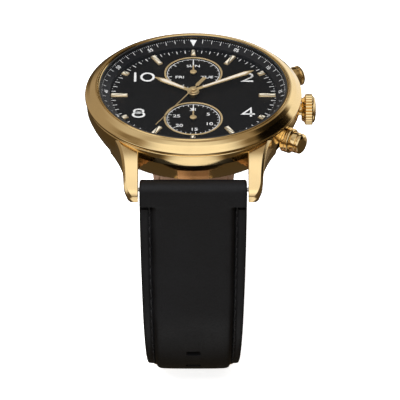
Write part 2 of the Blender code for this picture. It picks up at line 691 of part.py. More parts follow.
def make_crystal():
    """The slightly domed crystal."""
    radius = BEZEL_BORE_RADIUS - CRYSTAL_GASKET_WALL - 2 * FIT_GAP
    profile = [
        (0, CRYSTAL_BOTTOM), (radius, CRYSTAL_BOTTOM), (radius, CRYSTAL_TOP - CRYSTAL_BEVEL),
        (radius - CRYSTAL_BEVEL, CRYSTAL_TOP),
        (radius * 0.6, CRYSTAL_TOP + CRYSTAL_DOME * 0.65), (0, CRYSTAL_TOP + CRYSTAL_DOME),
    ]
    return link("crystal", turned(profile, ROUND_SIDES), GLASS)


def ring(name, inner, outer, bottom, top, finish, sides=ROUND_SIDES):
    """A plain flat ring."""
    return link(name, turned([(inner, bottom), (outer, bottom), (outer, top), (inner, top)], sides), finish)


def make_case_parts():
    """Case, bezel, crystal, back and their seals."""
    make_mid_case()
    make_bezel()
    make_crystal()
    outer = BEZEL_BORE_RADIUS - FIT_GAP
    ring("crystal_gasket", outer - CRYSTAL_GASKET_WALL, outer, CRYSTAL_BOTTOM, BEZEL_TOP - 0.1, RUBBER)
    chapter = [
        (CHAPTER_INNER_RADIUS, BEZEL_BOTTOM), (outer, BEZEL_BOTTOM), (outer, DIAL_TOP + CHAPTER_OUTER_HEIGHT),
        (CHAPTER_INNER_RADIUS, DIAL_TOP + CHAPTER_INNER_HEIGHT),
    ]
    link("chapter_ring", turned(chapter, ROUND_SIDES), BLACK_DIAL)
    wall = CASE_BORE_RADIUS - FIT_GAP
    back = [
        (0, 0), (BACK_RADIUS - 0.6, 0), (BACK_RADIUS, 0.6), (BACK_RADIUS, BACK_FLANGE), (wall, BACK_FLANGE),
        (wall, BACK_WALL_TOP), (wall - BACK_WALL, BACK_WALL_TOP), (wall - BACK_WALL, BACK_FLOOR),
        (0, BACK_FLOOR),
    ]
    link("case_back", turned(back, ROUND_SIDES), STEEL)
    ring(
        "back_gasket", CASE_BORE_RADIUS + GASKET_SIDE_GAP, BACK_RADIUS - FIT_GAP, BACK_FLANGE + SEAT_GAP,
        BACK_FLANGE + GASKET_HEIGHT, RUBBER,
    )


# ---- Dial and hands --------------------------------------------------------------------------------------
def make_dial():
    """The dial with two sunk sub-dials and the holes for the hand arbors."""
    bore = HOUR_PIPE_RADIUS + 0.1
    dial = ring("dial", bore, DIAL_RADIUS, DIAL_BOTTOM, DIAL_TOP, BLACK_DIAL)
    for name, sign in (("upper", 1), ("lower", -1)):
        hole = SUBDIAL_ARBOR_RADIUS + 0.1
        floor = DIAL_TOP - SUBDIAL_DEPTH
        low, high = DIAL_BOTTOM - CUT_PAST, DIAL_TOP + CUT_PAST
        sunk = SUBDIAL_RADIUS
        profile = [(0, low), (hole, low), (hole, floor), (sunk, floor), (sunk, high), (0, high)]
        cutter = moved(turned(profile, PART_SIDES), Matrix.Translation((0, sign * SUBDIAL_REACH, 0)))
        boolean(dial, as_cutter(link(f"{name}_subdial_cutter", cutter, BLACK_DIAL)), "DIFFERENCE")
        bottom = DIAL_TOP + SEAT_GAP
        inner, outer = SUBDIAL_RADIUS, SUBDIAL_RADIUS + SUBDIAL_RING_WIDTH
        section = [
            (inner, bottom), (outer, bottom), (outer, bottom + SUBDIAL_RING_EDGE),
            ((inner + outer) / 2, bottom + SUBDIAL_RING_HEIGHT), (inner, bottom + SUBDIAL_RING_EDGE),
        ]
        rim = moved(turned(section, PART_SIDES), Matrix.Translation((0, sign * SUBDIAL_REACH, 0)))
        link(f"{name}_subdial_ring", rim, GOLD)
    return dial


def make_markers():
    """Twelve applied hour markers: long bars, short bars at 12 and 6, and squares beside the numerals."""
    for hour in range(1, 13):
        length = MARKER_LENGTH
        if hour in (6, 12):
            length = SHORT_MARKER_LENGTH
        if hour in (2, 4, 8, 10):
            length = SQUARE_MARKER_LENGTH
        outer, inner, half = MARKER_OUTER_RADIUS, MARKER_OUTER_RADIUS - length, MARKER_WIDTH / 2
        outline = [(-half, inner), (half, inner), (half, outer), (-half, outer)]
        bottom = DIAL_TOP + SEAT_GAP
        bm = plate([outline], bottom, bottom + MARKER_HEIGHT)
        link(f"hour_marker_{hour:02d}", moved(bm, clock_turn(hour * 30)), LUME)


def baton(length, root_half, wide_half, hub, bore, tail=0.0):
    """A hand's outline towards +Y: a hub ring, a shaft that widens and a pointed tip."""
    angle = math.asin(root_half / hub)
    start = math.pi / 2 - angle
    count = 12
    sweep = 2 * math.pi - 2 * angle
    turns = [start - sweep * i / count for i in range(count + 1)]
    hub_points = [(hub * math.cos(t), hub * math.sin(t)) for t in turns]
    shoulder, tip_half = length * TIP_SHARE, 0.3 * wide_half
    shaft = [(-wide_half, shoulder), (-tip_half, length), (tip_half, length), (wide_half, shoulder)]
    if tail:
        hub_points = [p for p in hub_points if not (p[1] < 0 and abs(p[0]) < wide_half)]
        middle = next(i for i, p in enumerate(hub_points) if p[0] < 0 and p[1] < 0)
        half, start = TAIL_HALF_WIDTH, -hub * 0.8
        hub_points[middle:middle] = [(half, start), (half, -tail), (-half, -tail), (-half, start)]
    return [hub_points + shaft, circle(bore, SMALL_SIDES)]


def make_hand(name, outline, lift, degrees, centre=(0.0, 0.0)):
    """One flat hand, so high above the dial, turned to its clock angle."""
    bottom = DIAL_TOP + lift
    bm = plate(outline, bottom, bottom + HAND_THICKNESS)
    return link(name, moved(bm, clock_turn(degrees, centre)), GOLD)


def make_hands():
    """The three centre hands and the two sub-dial hands."""
    root, wide = HAND_ROOT_HALF_WIDTH, HAND_HALF_WIDTH
    hour = baton(HOUR_HAND_LENGTH, root, wide, HAND_HUB_RADIUS, HOUR_PIPE_RADIUS + HAND_FIT)
    make_hand("hour_hand", hour, HOUR_HAND_LIFT, HOUR_HAND_ANGLE)
    minute = baton(MINUTE_HAND_LENGTH, root, wide, MINUTE_HUB_RADIUS, CANNON_PIPE_RADIUS + HAND_FIT)
    make_hand("minute_hand", minute, MINUTE_HAND_LIFT, MINUTE_HAND_ANGLE)
    bore = SECONDS_ARBOR_RADIUS + HAND_FIT
    seconds = baton(SECONDS_HAND_LENGTH, 0.12, 0.1, SECONDS_HUB_RADIUS, bore, SECONDS_TAIL_LENGTH)
    make_hand("seconds_hand", seconds, SECONDS_HAND_LIFT, SECONDS_HAND_ANGLE)
    for name, sign in (("day", 1), ("date", -1)):
        small = baton(SUBDIAL_HAND_LENGTH, 0.13, 0.13, SUBDIAL_HUB_RADIUS, SUBDIAL_ARBOR_RADIUS + HAND_FIT)
        make_hand(f"{name}_hand", small, SUBDIAL_HAND_LIFT, 0.0, (0.0, sign * SUBDIAL_REACH))


# ---- Movement --------------------------------------------------------------------------------------------
def make_main_plate():
    """The main plate: bored for the arbors, slotted for the stem, the setting lever and the battery."""
    centre_hole = circle(CANNON_BORE_RADIUS + 0.12, SMALL_SIDES)
    r = SUBDIAL_ARBOR_RADIUS + RUN_GAP
    arbor_holes = [circle(r, SMALL_SIDES, (0, s * SUBDIAL_REACH)) for s in (1, -1)]
    edge = circle(PLATE_RADIUS, ROUND_SIDES)
    main = link("main_plate", plate([edge, centre_hole, *arbor_holes], PLATE_BOTTOM, PLATE_TOP), BRASS)
    post_top = HOUR_WHEEL_BOTTOM + WHEEL_THICKNESS + STEP_OVERLAP
    post = plate([circle(POST_RADIUS, SMALL_SIDES, (MINUTE_WHEEL_REACH, 0))], PLATE_TOP - 0.5, post_top)
    boolean(main, as_cutter(link("minute_wheel_post", post, BRASS)), "UNION")
    bore = STEM_RADIUS + RUN_GAP
    start, end = STEM_INNER_END - LEVER_POCKET_GAP, PLATE_RADIUS + CUT_PAST
    stem_hole = turned([(0, start), (bore, start), (bore, end), (0, end)], SMALL_SIDES)
    stem_hole = as_cutter(link("stem_hole_cutter", moved(stem_hole, radial_matrix(0)), BRASS))
    boolean(main, stem_hole, "DIFFERENCE")
    foot_end = LEVER_REACH + LEVER_THICKNESS / 2 + LEVER_FOOT_LENGTH
    half = LEVER_HALF_WIDTH + LEVER_POCKET_GAP
    low = (LEVER_REACH - 1.075, -half, PLATE_BOTTOM - CUT_PAST)
    high = (foot_end + CROWN_TRAVEL + 0.3, half, CONTROL_HEIGHT + LEVER_TOP_RISE + 0.35)
    boolean(main, as_cutter(link("lever_pocket_cutter", box(low, high), BRASS)), "DIFFERENCE")


def make_setting_lever():
    """The setting lever: a foot with a fork that sits in the stem's groove."""
    low, high = CONTROL_HEIGHT - LEVER_BOTTOM_DROP, CONTROL_HEIGHT + LEVER_TOP_RISE
    half, slot, floor = LEVER_HALF_WIDTH, LEVER_SLOT_HALF_WIDTH, CONTROL_HEIGHT - LEVER_SLOT_DROP
    outline = [
        (-half, low), (half, low), (half, high), (slot, high), (slot, floor), (-slot, floor), (-slot, high),
        (-half, high),
    ]
    front = LEVER_REACH + LEVER_THICKNESS / 2
    lever = link("setting_lever", side_prism(outline, front - LEVER_THICKNESS, front), STEEL)
    foot_top = low + LEVER_FOOT_THICKNESS
    foot = box((front - STEP_OVERLAP, -half, low), (front + LEVER_FOOT_LENGTH, half, foot_top))
    boolean(lever, as_cutter(link("lever_foot", foot, STEEL)), "UNION")


def make_stem():
    """The winding stem, with the groove for the setting lever, screwed into the crown."""
    r, start = STEM_RADIUS, STEM_INNER_END
    end = CROWN_FACE - CROWN_BORE_DEPTH - 0.05
    half = LEVER_THICKNESS / 2 + GROOVE_PLAY
    low, high = LEVER_REACH - half, LEVER_REACH + half
    profile = [
        (0, start), (STEM_TIP_RADIUS, start), (r, start + 0.3), (r, low), (GROOVE_RADIUS, low),
        (GROOVE_RADIUS, high), (r, high), (r, end), (0, end),
    ]
    link("winding_stem", moved(turned(profile, SMALL_SIDES), radial_matrix(0)), STEEL)


def make_movement():
    """Holder, plate, cover, battery, motion work and the day and date wheels."""
    inner, outer = PLATE_RADIUS + PLATE_EDGE_GAP, CASE_BORE_RADIUS - HOLDER_WALL_GAP
    holder = ring("movement_holder", inner, outer, HOLDER_BOTTOM, DIAL_BOTTOM - 2 * SEAT_GAP, PLASTIC)
    r, start, end = HOLDER_HOLE_RADIUS, inner - 1.7, outer + 2.0
    for degrees in (0.0, PUSHER_ANGLE, -PUSHER_ANGLE):
        hole = turned([(0, start), (r, start), (r, end), (0, end)], SMALL_SIDES)
        cutter = link(f"holder_cutter_{degrees:.0f}", moved(hole, radial_matrix(degrees)), PLASTIC)
        boolean(holder, as_cutter(cutter), "DIFFERENCE")
    make_main_plate()
    make_setting_lever()
    make_stem()
    battery_top = PLATE_BOTTOM - 0.1
    battery_bottom = battery_top - BATTERY_THICKNESS
    inwards, up = BATTERY_STEP
    battery = [
        (0, battery_bottom), (BATTERY_RADIUS - inwards, battery_bottom),
        (BATTERY_RADIUS, battery_bottom + up), (BATTERY_RADIUS, battery_top), (0, battery_top),
    ]
    link("battery", moved(turned(battery, PART_SIDES), Matrix.Translation((*BATTERY_PLACE, 0))), STEEL)
    cover_top = battery_bottom - SEAT_GAP
    cover_edge = PLATE_RADIUS - COVER_EDGE_INSET
    ring("movement_cover", COVER_BORE_RADIUS, cover_edge, cover_top - COVER_THICKNESS, cover_top, STEEL)
    make_motion_work()
    low = PLATE_TOP + CALENDAR_WHEEL_LIFT
    wheels = (("day", 1, DAY_TEETH, DAY_WHEEL_RADIUS), ("date", -1, DATE_TEETH, DATE_WHEEL_RADIUS))
    for name, sign, teeth, radius in wheels:
        place = (0.0, sign * SUBDIAL_REACH)
        module = 2 * radius / teeth * CALENDAR_MODULE_SHARE
        wheel = plate([gear_outline(teeth, module, place)], low, low + CALENDAR_WHEEL_THICKNESS)
        wheel = link(f"{name}_wheel", wheel, BRASS)
        arbor_top = DIAL_TOP + SUBDIAL_HAND_LIFT + HAND_THICKNESS
        arbor = plate([circle(SUBDIAL_ARBOR_RADIUS, SMALL_SIDES, place)], PLATE_TOP - 1.2, arbor_top)
        boolean(wheel, as_cutter(link(f"{name}_arbor", arbor, BRASS)), "UNION")


def make_motion_work():
    """Cannon pinion, minute wheel and hour wheel, in mesh, and the seconds arbor with its wheel."""
    low_module = 2 * MINUTE_WHEEL_REACH / (CANNON_TEETH + MINUTE_WHEEL_TEETH)
    high_module = 2 * MINUTE_WHEEL_REACH / (MINUTE_PINION_TEETH + HOUR_WHEEL_TEETH)
    wheel_place = (MINUTE_WHEEL_REACH, 0.0)
    pinion_top = MINUTE_WHEEL_BOTTOM + WHEEL_THICKNESS + 0.05
    outlines = [gear_outline(CANNON_TEETH, low_module), circle(CANNON_BORE_RADIUS, SMALL_SIDES)]
    cannon = link("cannon_pinion", plate(outlines, MINUTE_WHEEL_BOTTOM - 0.1, pinion_top), BRASS)
    pipe_top = DIAL_TOP + MINUTE_HAND_LIFT + HAND_THICKNESS
    pipe = turned([
        (CANNON_BORE_RADIUS, pinion_top - STEP_OVERLAP), (CANNON_PIPE_RADIUS, pinion_top - STEP_OVERLAP),
        (CANNON_PIPE_RADIUS, pipe_top), (CANNON_BORE_RADIUS, pipe_top),
    ], SMALL_SIDES)
    boolean(cannon, as_cutter(link("cannon_pipe", pipe, BRASS)), "UNION")

    # A tooth of the cannon pinion points to the minute wheel, so the wheel shows a gap there.
    wheel_phase = math.pi + math.pi / MINUTE_WHEEL_TEETH
    post_bore = circle(POST_BORE_RADIUS, SMALL_SIDES, wheel_place)
    wheel = gear_outline(MINUTE_WHEEL_TEETH, low_module, wheel_place, wheel_phase)
    wheel_top = MINUTE_WHEEL_BOTTOM + WHEEL_THICKNESS
    wheel = link("minute_wheel", plate([wheel, post_bore], MINUTE_WHEEL_BOTTOM, wheel_top), BRASS)
    pinion = gear_outline(MINUTE_PINION_TEETH, high_module, wheel_place, math.pi)
    pinion_end = HOUR_WHEEL_BOTTOM + WHEEL_THICKNESS
    pinion = plate([pinion, post_bore], wheel_top - STEP_OVERLAP, pinion_end)
    boolean(wheel, as_cutter(link("minute_pinion", pinion, BRASS)), "UNION")

    hour_bore = CANNON_PIPE_RADIUS + RUN_GAP
    hour = gear_outline(HOUR_WHEEL_TEETH, high_module, (0, 0), math.pi / HOUR_WHEEL_TEETH)
    hour_top = HOUR_WHEEL_BOTTOM + WHEEL_THICKNESS
    hour = plate([hour, circle(hour_bore, SMALL_SIDES)], HOUR_WHEEL_BOTTOM, hour_top)
    hour = link("hour_wheel", hour, BRASS)
    hour_pipe_top = DIAL_TOP + HOUR_HAND_LIFT + HAND_THICKNESS
    pipe = turned([
        (hour_bore, hour_top - STEP_OVERLAP), (HOUR_PIPE_RADIUS, hour_top - STEP_OVERLAP),
        (HOUR_PIPE_RADIUS, hour_pipe_top), (hour_bore, hour_pipe_top),
    ], SMALL_SIDES)
    boolean(hour, as_cutter(link("hour_pipe", pipe, BRASS)), "UNION")

    arbor_top = DIAL_TOP + SECONDS_HAND_LIFT + HAND_THICKNESS
    r, wide = SECONDS_ARBOR_RADIUS, SECONDS_WHEEL_RADIUS
    low = PLATE_BOTTOM - 0.55
    high = low + SECONDS_WHEEL_THICKNESS
    arbor = [
        (0, low - 0.2), (r, low - 0.2), (r, low), (wide, low), (wide, high), (r, high), (r, arbor_top),
        (0, arbor_top),
    ]
    link("seconds_arbor", turned(arbor, SMALL_SIDES), STEEL)


# ---- Crown and pushers -----------------------------------------------------------------------------------
def fluted(radius, depth, bottom, top, flutes):
    """A fluted band about Z: shallow notches all round."""
    points = []
    for k in range(flutes):
        for share, r in ((0.0, radius), (0.5, radius), (0.62, radius - depth), (0.88, radius - depth)):
            angle = 2 * math.pi * (k + share) / flutes
            points.append((r * math.cos(angle), r * math.sin(angle)))
    return plate([points], bottom, top)


def make_crown():
    """The crown: tapered towards the case, fluted round its middle, with a slightly domed face."""
    base = CROWN_FACE - CROWN_LENGTH
    bore, rim = TUBE_RADIUS + 0.3, CROWN_RADIUS - CROWN_RIM_INSET
    thread, thread_end = STEM_RADIUS + STEM_THREAD_GAP, CROWN_FACE - CROWN_BORE_DEPTH
    hollow_end = base + CROWN_HOLLOW_DEPTH
    profile = [
        (thread, thread_end), (thread, hollow_end), (bore, hollow_end), (bore, base),
        (CROWN_RADIUS - 1.1, base), (rim, base + 0.75), (rim, CROWN_FACE - 0.5),
        (CROWN_RADIUS - 0.8, CROWN_FACE - 0.12), (1.2, CROWN_FACE), (0, CROWN_FACE), (0, thread_end),
    ]
    crown = link("crown", moved(turned(profile, PART_SIDES), radial_matrix(0)), GOLD)
    band = fluted(CROWN_RADIUS, FLUTE_DEPTH, base + 0.7, CROWN_FACE - 0.6, CROWN_FLUTES)
    inside, start, end = rim - 0.3, base - CUT_PAST, CROWN_FACE + CUT_PAST
    hollow = turned([(0, start), (inside, start), (inside, end), (0, end)], PART_SIDES)
    hollow = as_cutter(link("crown_band_hollow", moved(hollow, radial_matrix(0)), GOLD))
    band = as_cutter(link("crown_band", moved(band, radial_matrix(0)), GOLD))
    boolean(band, hollow, "DIFFERENCE")
    boolean(crown, band, "UNION")
    start, end = TUBE_INNER_END, base + TUBE_PROUD
    profile = [(TUBE_BORE_RADIUS, start), (TUBE_RADIUS, start), (TUBE_RADIUS, end), (TUBE_BORE_RADIUS, end)]
    link("crown_tube", moved(turned(profile, SMALL_SIDES), radial_matrix(0)), STEEL)


def make_pusher(name, degrees):
    """One pump pusher: its collar in the case, a hollow button on a stem, its clip and its return spring."""
    matrix = radial_matrix(degrees)
    cup = PUSHER_RADIUS + PUSHER_CUP_GAP
    cup_floor = COLLAR_SEAT + COLLAR_FLOOR
    inwards, back = COLLAR_CHAMFER
    tube_profile = [
        (TUBE_BORE_RADIUS, TUBE_INNER_END), (TUBE_RADIUS, TUBE_INNER_END), (TUBE_RADIUS, COLLAR_SEAT),
        (COLLAR_RADIUS, COLLAR_SEAT), (COLLAR_RADIUS, COLLAR_FACE - back),
        (COLLAR_RADIUS - inwards, COLLAR_FACE), (cup, COLLAR_FACE), (cup, cup_floor),
        (TUBE_BORE_RADIUS, cup_floor),
    ]
    link(f"{name}_pusher_collar", moved(turned(tube_profile, PART_SIDES), matrix), GOLD)
    skirt = cup_floor + PUSHER_TRAVEL + PUSHER_BOTTOM_GAP
    hollow = PUSHER_RADIUS - PUSHER_WALL
    head = PUSHER_FACE - PUSHER_HEAD
    groove = PUSHER_GROOVE_RADIUS
    clip_high = CASE_BORE_RADIUS - CLIP_SETBACK
    clip_low = clip_high - CLIP_THICKNESS
    button = [
        (0, PUSHER_FACE), (PUSHER_RADIUS * 0.6, PUSHER_FACE - 0.08),
        (PUSHER_RADIUS - 0.25, PUSHER_FACE - 0.35), (PUSHER_RADIUS - 0.15, PUSHER_FACE - 0.8),
        (PUSHER_RADIUS, PUSHER_FACE - 0.95), (PUSHER_RADIUS, skirt),
        (hollow, skirt), (hollow, head), (STEM_RADIUS, head), (STEM_RADIUS, clip_high + 0.1),
        (groove, clip_high + 0.1), (groove, clip_low - 0.1), (0, clip_low - 0.1),
    ]
    link(f"{name}_pusher_button", moved(turned(list(reversed(button)), PART_SIDES), matrix), GOLD)
    inner = groove + FIT_GAP
    clip = [(inner, clip_low), (CLIP_RADIUS, clip_low), (CLIP_RADIUS, clip_high), (inner, clip_high)]
    link(f"{name}_pusher_clip", moved(turned(clip, SMALL_SIDES), matrix), STEEL)
    low = cup_floor + SPRING_WIRE_RADIUS + SPRING_END_GAP
    high = head - SPRING_WIRE_RADIUS - SPRING_END_GAP
    steps = SPRING_TURNS * 8
    coil = [
        Vector((
            SPRING_RADIUS * math.cos(2 * math.pi * i / 8), SPRING_RADIUS * math.sin(2 * math.pi * i / 8),
            low + (high - low) * i / steps,
        ))
        for i in range(steps + 1)
    ]
    link(f"{name}_pusher_spring", moved(tube(coil, SPRING_WIRE_RADIUS, 4), matrix), STEEL)


# ---- Strap, buckle and keepers ---------------------------------------------------------------------------
def make_spring_bars():
    """The two spring bars that hold the strap between the lugs."""
    body = LUG_INNER - BAR_SHOULDER_GAP
    tip = LUG_INNER + BAR_TIP_LENGTH
    profile = [
        (0, -tip), (BAR_TIP_RADIUS, -tip), (BAR_TIP_RADIUS, -body), (BAR_RADIUS, -body), (BAR_RADIUS, body),
        (BAR_TIP_RADIUS, body), (BAR_TIP_RADIUS, tip), (0, tip),
    ]
    for name, sign in (("spring_bar_6", -1), ("spring_bar_12", 1)):
        link(name, along_x(turned(profile, SMALL_SIDES), sign * BAR_REACH, BAR_HEIGHT), STEEL)


def cross_bore(name, y, z, radius):
    """A cutter along X, longer than any strap is wide."""
    reach = max(STRAP_WIDTH_AT_LUGS, STRAP_WIDTH_AT_BUCKLE)
    bore = turned([(0, -reach), (radius, -reach), (radius, reach), (0, reach)], SMALL_SIDES)
    return as_cutter(link(name, along_x(bore, y, z), STEEL))


def tail_width(s):
    """The long strap's width, rounded off towards the tip."""
    width = width_at(s, LONG_TAPER_LENGTH)
    past = (s - (LONG_STRAP_LENGTH - TAIL_TIP_LENGTH)) / TAIL_TIP_LENGTH
    if past <= 0:
        return width
    return width * max(0.35, math.sqrt(max(0.0, 1 - past**2.4)))


def make_long_strap():
    """The 6 o'clock strap: padded upper, lining and the row of tongue slots."""
    rings = strap_end_rings(LONG_PATH, 0.0, 1, LONG_TAPER_LENGTH)
    places = [LINING_START - 0.2, LINING_START - 0.1, MARGIN_START, MARGIN_START + 0.6]
    places += stations(MARGIN_START + 3.5, LONG_STRAP_LENGTH - TAIL_TIP_LENGTH)
    places += [LONG_STRAP_LENGTH - TAIL_TIP_LENGTH * (1 - share) for share in (0.4, 0.7, 0.88, 0.97, 1.0)]
    for s in places:
        lined = 1 if s > LINING_START - 0.15 else 0
        margin = 1 if s > MARGIN_START + 0.1 else 0
        ring_points = upper_section(tail_width(s), thickness_at(s, LONG_THICKNESS_TAPER), lined, margin)
        rings.append([LONG_PATH.point(s, x, out) for x, out in ring_points])
    strap = link("strap_long", loft(rings), LEATHER)
    bore = cross_bore("long_bar_bore", -BAR_REACH, BAR_HEIGHT, BAR_RADIUS + BAR_BORE_GAP)
    boolean(strap, bore, "DIFFERENCE")
    lining_rings = []
    for s in [LINING_START, *places[2:-1]]:
        outline = lining_section(tail_width(s), thickness_at(s, LONG_THICKNESS_TAPER))
        lining_rings.append([LONG_PATH.point(s, x, out) for x, out in outline])
    lining = link("strap_long_lining", loft(lining_rings), LINING)
    half_w, half_l = SLOT_WIDTH / 2, SLOT_LENGTH / 2
    for k, s in enumerate(SLOT_PLACES):
        slot = moved(box((-half_w, -half_l, -CUT_PAST), (half_w, half_l, CUT_PAST)), LONG_PATH.frame(s))
        slot = as_cutter(link(f"slot_cutter_{k}", slot, LEATHER))
        boolean(strap, slot, "DIFFERENCE")
        boolean(lining, slot, "DIFFERENCE")


def make_short_strap():
    """The 12 o'clock strap, from the buckle pin up to the spring bar, with its lining."""
    total = SHORT_PATH.length
    radius = STRAP_THICKNESS_AT_BUCKLE / 2
    rings = []
    for k in range(3):
        angle = math.radians(15 + 32 * k)
        ring_points = upper_section(STRAP_WIDTH_AT_BUCKLE, 2 * radius * math.sin(angle), 0, 0)
        rings.append([SHORT_PATH.point(-radius * math.cos(angle), x, out) for x, out in ring_points])
    lining_from = SHORT_LINING_START
    margin_to = total - MARGIN_START
    places = [lining_from - 0.3, lining_from - 0.2] + stations(lining_from + 1.0, margin_to - 0.7)
    places += [margin_to - 0.1, total - LINING_START + 0.1, total - LINING_START + 0.2]
    for s in places:
        lined = 1 if lining_from - 0.25 < s < total - LINING_START + 0.15 else 0
        margin = SHORT_MARGIN_SHARE if lining_from < s < margin_to - 0.2 else 0
        width = width_at(total - s, SHORT_TAPER_LENGTH)
        thickness = thickness_at(total - s, SHORT_THICKNESS_TAPER)
        outline = upper_section(width, thickness, lined, margin)
        rings.append([SHORT_PATH.point(s, x, out) for x, out in outline])
    rings += list(reversed(strap_end_rings(SHORT_PATH, total, -1, SHORT_TAPER_LENGTH)))
    strap = link("strap_short", loft(rings), LEATHER)
    bore = cross_bore("short_bar_bore", BAR_REACH, BAR_HEIGHT, BAR_RADIUS + BAR_BORE_GAP)
    boolean(strap, bore, "DIFFERENCE")
    bore = cross_bore("buckle_pin_bore", PIN_Y, PIN_Z, BUCKLE_PIN_RADIUS + PIN_BORE_GAP)
    boolean(strap, bore, "DIFFERENCE")
    half = TONGUE_WIDTH / 2 + TONGUE_NOTCH_GAP
    notch = box((-half, -CUT_PAST, -CUT_PAST), (half, TONGUE_NOTCH_LENGTH, CUT_PAST))
    notch = as_cutter(link("tongue_notch_cutter", moved(notch, SHORT_PATH.frame(0.0)), LEATHER))
    boolean(strap, notch, "DIFFERENCE")
    lining_rings = []
    for s in [lining_from] + stations(lining_from + 1.0, margin_to - 0.7) + [total - LINING_START]:
        width = width_at(total - s, SHORT_TAPER_LENGTH)
        thickness = thickness_at(total - s, SHORT_THICKNESS_TAPER)
        lining_rings.append([SHORT_PATH.point(s, x, out) for x, out in lining_section(width, thickness)])
    link("strap_short_lining", loft(lining_rings), LINING)


def make_buckle():
    """The pin buckle: its frame with a front bar and two arms, the pin, and the tongue through its slot."""
    inner = STRAP_WIDTH_AT_BUCKLE / 2 + BUCKLE_SIDE_GAP
    outer = inner + BUCKLE_ARM
    bar_y = PIN_Y - BUCKLE_BAR_REACH
    bar_top = LOOP_BOTTOM - STRAP_THICKNESS_AT_BUCKLE / 2 - BUCKLE_BAR_GAP
    bar_bottom = bar_top - BUCKLE_BAR_THICKNESS
    front, rear = bar_y - BUCKLE_BAR_WIDTH / 2, bar_y + BUCKLE_BAR_WIDTH / 2
    eye = [
        (PIN_Y + BUCKLE_EYE_RADIUS * math.cos(a), PIN_Z + BUCKLE_EYE_RADIUS * math.sin(a))
        for a in (math.radians(-70 + 22.5 * k) for k in range(9))
    ]
    profile = [
        (front, bar_bottom + 0.5), (front + 0.5, bar_bottom), (rear, bar_bottom),
        (PIN_Y - 3.0, bar_bottom + 1.1), *eye, (PIN_Y - 3.0, PIN_Z - 0.9), (rear, bar_top),
        (front + 0.6, bar_top), (front, bar_top - 0.5),
    ]
    frame = link("buckle_frame", side_prism(profile, -outer, outer), GOLD)
    inside = box((-inner, rear, bar_bottom - CUT_PAST), (inner, PIN_Y + CUT_PAST, PIN_Z + CUT_PAST))
    boolean(frame, as_cutter(link("buckle_inside_cutter", inside, GOLD)), "DIFFERENCE")
    boolean(frame, cross_bore("buckle_eye_bore", PIN_Y, PIN_Z, BUCKLE_PIN_RADIUS + FIT_GAP), "DIFFERENCE")
    beside, above = TONGUE_REST_GAP
    half, rest_top = TONGUE_WIDTH / 2 + beside, bar_bottom + TONGUE_THICKNESS + above
    rest = box((-half, front - CUT_PAST, bar_bottom - CUT_PAST), (half, rear + 1.0, rest_top))
    boolean(frame, as_cutter(link("tongue_rest_cutter", rest, GOLD)), "DIFFERENCE")
    r, reach = BUCKLE_PIN_RADIUS, outer - PIN_END_INSET
    pin = turned([(0, -reach), (r, -reach), (r, reach), (0, reach)], SMALL_SIDES)
    link("buckle_pin", along_x(pin, PIN_Y, PIN_Z), STEEL)
    t = TONGUE_THICKNESS
    hook = BUCKLE_PIN_RADIUS + RUN_GAP + t
    eye = [
        (PIN_Y + hook * math.cos(a), PIN_Z + hook * math.sin(a))
        for a in (math.radians(-60 + 30 * k) for k in range(8))
    ]
    slot_front = ENGAGED_SLOT_Y - SLOT_LENGTH / 2 + TONGUE_END_PLAY
    slot_rear = slot_front + t
    tongue_profile = [
        (front - 0.2, bar_bottom + 0.1 + t * 0.9), (front - 0.4, bar_bottom + 0.45),
        (front - 0.2, bar_bottom + 0.1), (rear, bar_bottom + 0.05), (slot_rear - 1.3, bar_top - 0.95),
        (slot_rear, bar_top + 0.1),
        (slot_rear, PIN_Z - hook * 0.8), *eye, (slot_front, PIN_Z - 0.5), (slot_front, bar_top),
        (slot_front - 0.9, bar_top - 0.15), (rear, bar_bottom + 0.05 + t),
    ]
    tongue = link("buckle_tongue", side_prism(tongue_profile, -TONGUE_WIDTH / 2, TONGUE_WIDTH / 2), GOLD)
    boolean(tongue, cross_bore("tongue_eye_bore", PIN_Y, PIN_Z, BUCKLE_PIN_RADIUS + RUN_GAP), "DIFFERENCE")


def keeper_section(width, low, high):
    """Outer and inner outlines of a keeper band round the two strap layers, in (across, out)."""
    outlines = []
    for grow, corner in zip((KEEPER_WALL, 0.0), KEEPER_CORNERS):
        x, bottom, top = width / 2 + grow, low - grow, high + grow
        outlines.append([
            (-x + corner, bottom), (x - corner, bottom), (x, bottom + corner), (x, top - corner),
            (x - corner, top), (-x + corner, top), (-x, top - corner), (-x, bottom + corner),
        ])
    return outlines


def make_keepers():
    """The fixed keeper beside the buckle and the free one up the back arc."""
    arc_start = BACK_FLAT - PIN_Y
    free_place = arc_start + math.radians(FREE_KEEPER_ANGLE_DEG) * BACK_RADIUS_INNER
    fixed_place = FIXED_KEEPER_Y - PIN_Y
    for name, s, sag in (("keeper_fixed", fixed_place, 0.0), ("keeper_free", free_place, KEEPER_SAG)):
        width = STRAP_WIDTH_AT_BUCKLE + 2 * KEEPER_SIDE_GAP
        low = -STRAP_THICKNESS_AT_BUCKLE / 2 - KEEPER_GAP - sag
        high = LAYER_OFFSET + STRAP_THICKNESS_AT_BUCKLE / 2 + KEEPER_GAP
        bm = plate(keeper_section(width, low, high), -KEEPER_WIDTH / 2, KEEPER_WIDTH / 2)
        stand = Matrix(((1, 0, 0, 0), (0, 0, 1, 0), (0, 1, 0, 0), (0, 0, 0, 1)))
        link(name, moved(bm, SHORT_PATH.frame(s) @ stand), LEATHER)


def main():
    """Clears the scene and builds every piece in place."""
    for obj in list(bpy.data.objects):
        bpy.data.objects.remove(obj)
    make_case_parts()
    make_dial()
    make_markers()
    make_hands()
    make_movement()
    make_crown()
    make_pusher("upper", PUSHER_ANGLE)
    make_pusher("lower", -PUSHER_ANGLE)
    make_spring_bars()
    make_long_strap()
    make_short_strap()
    make_buckle()
    make_keepers()


main()
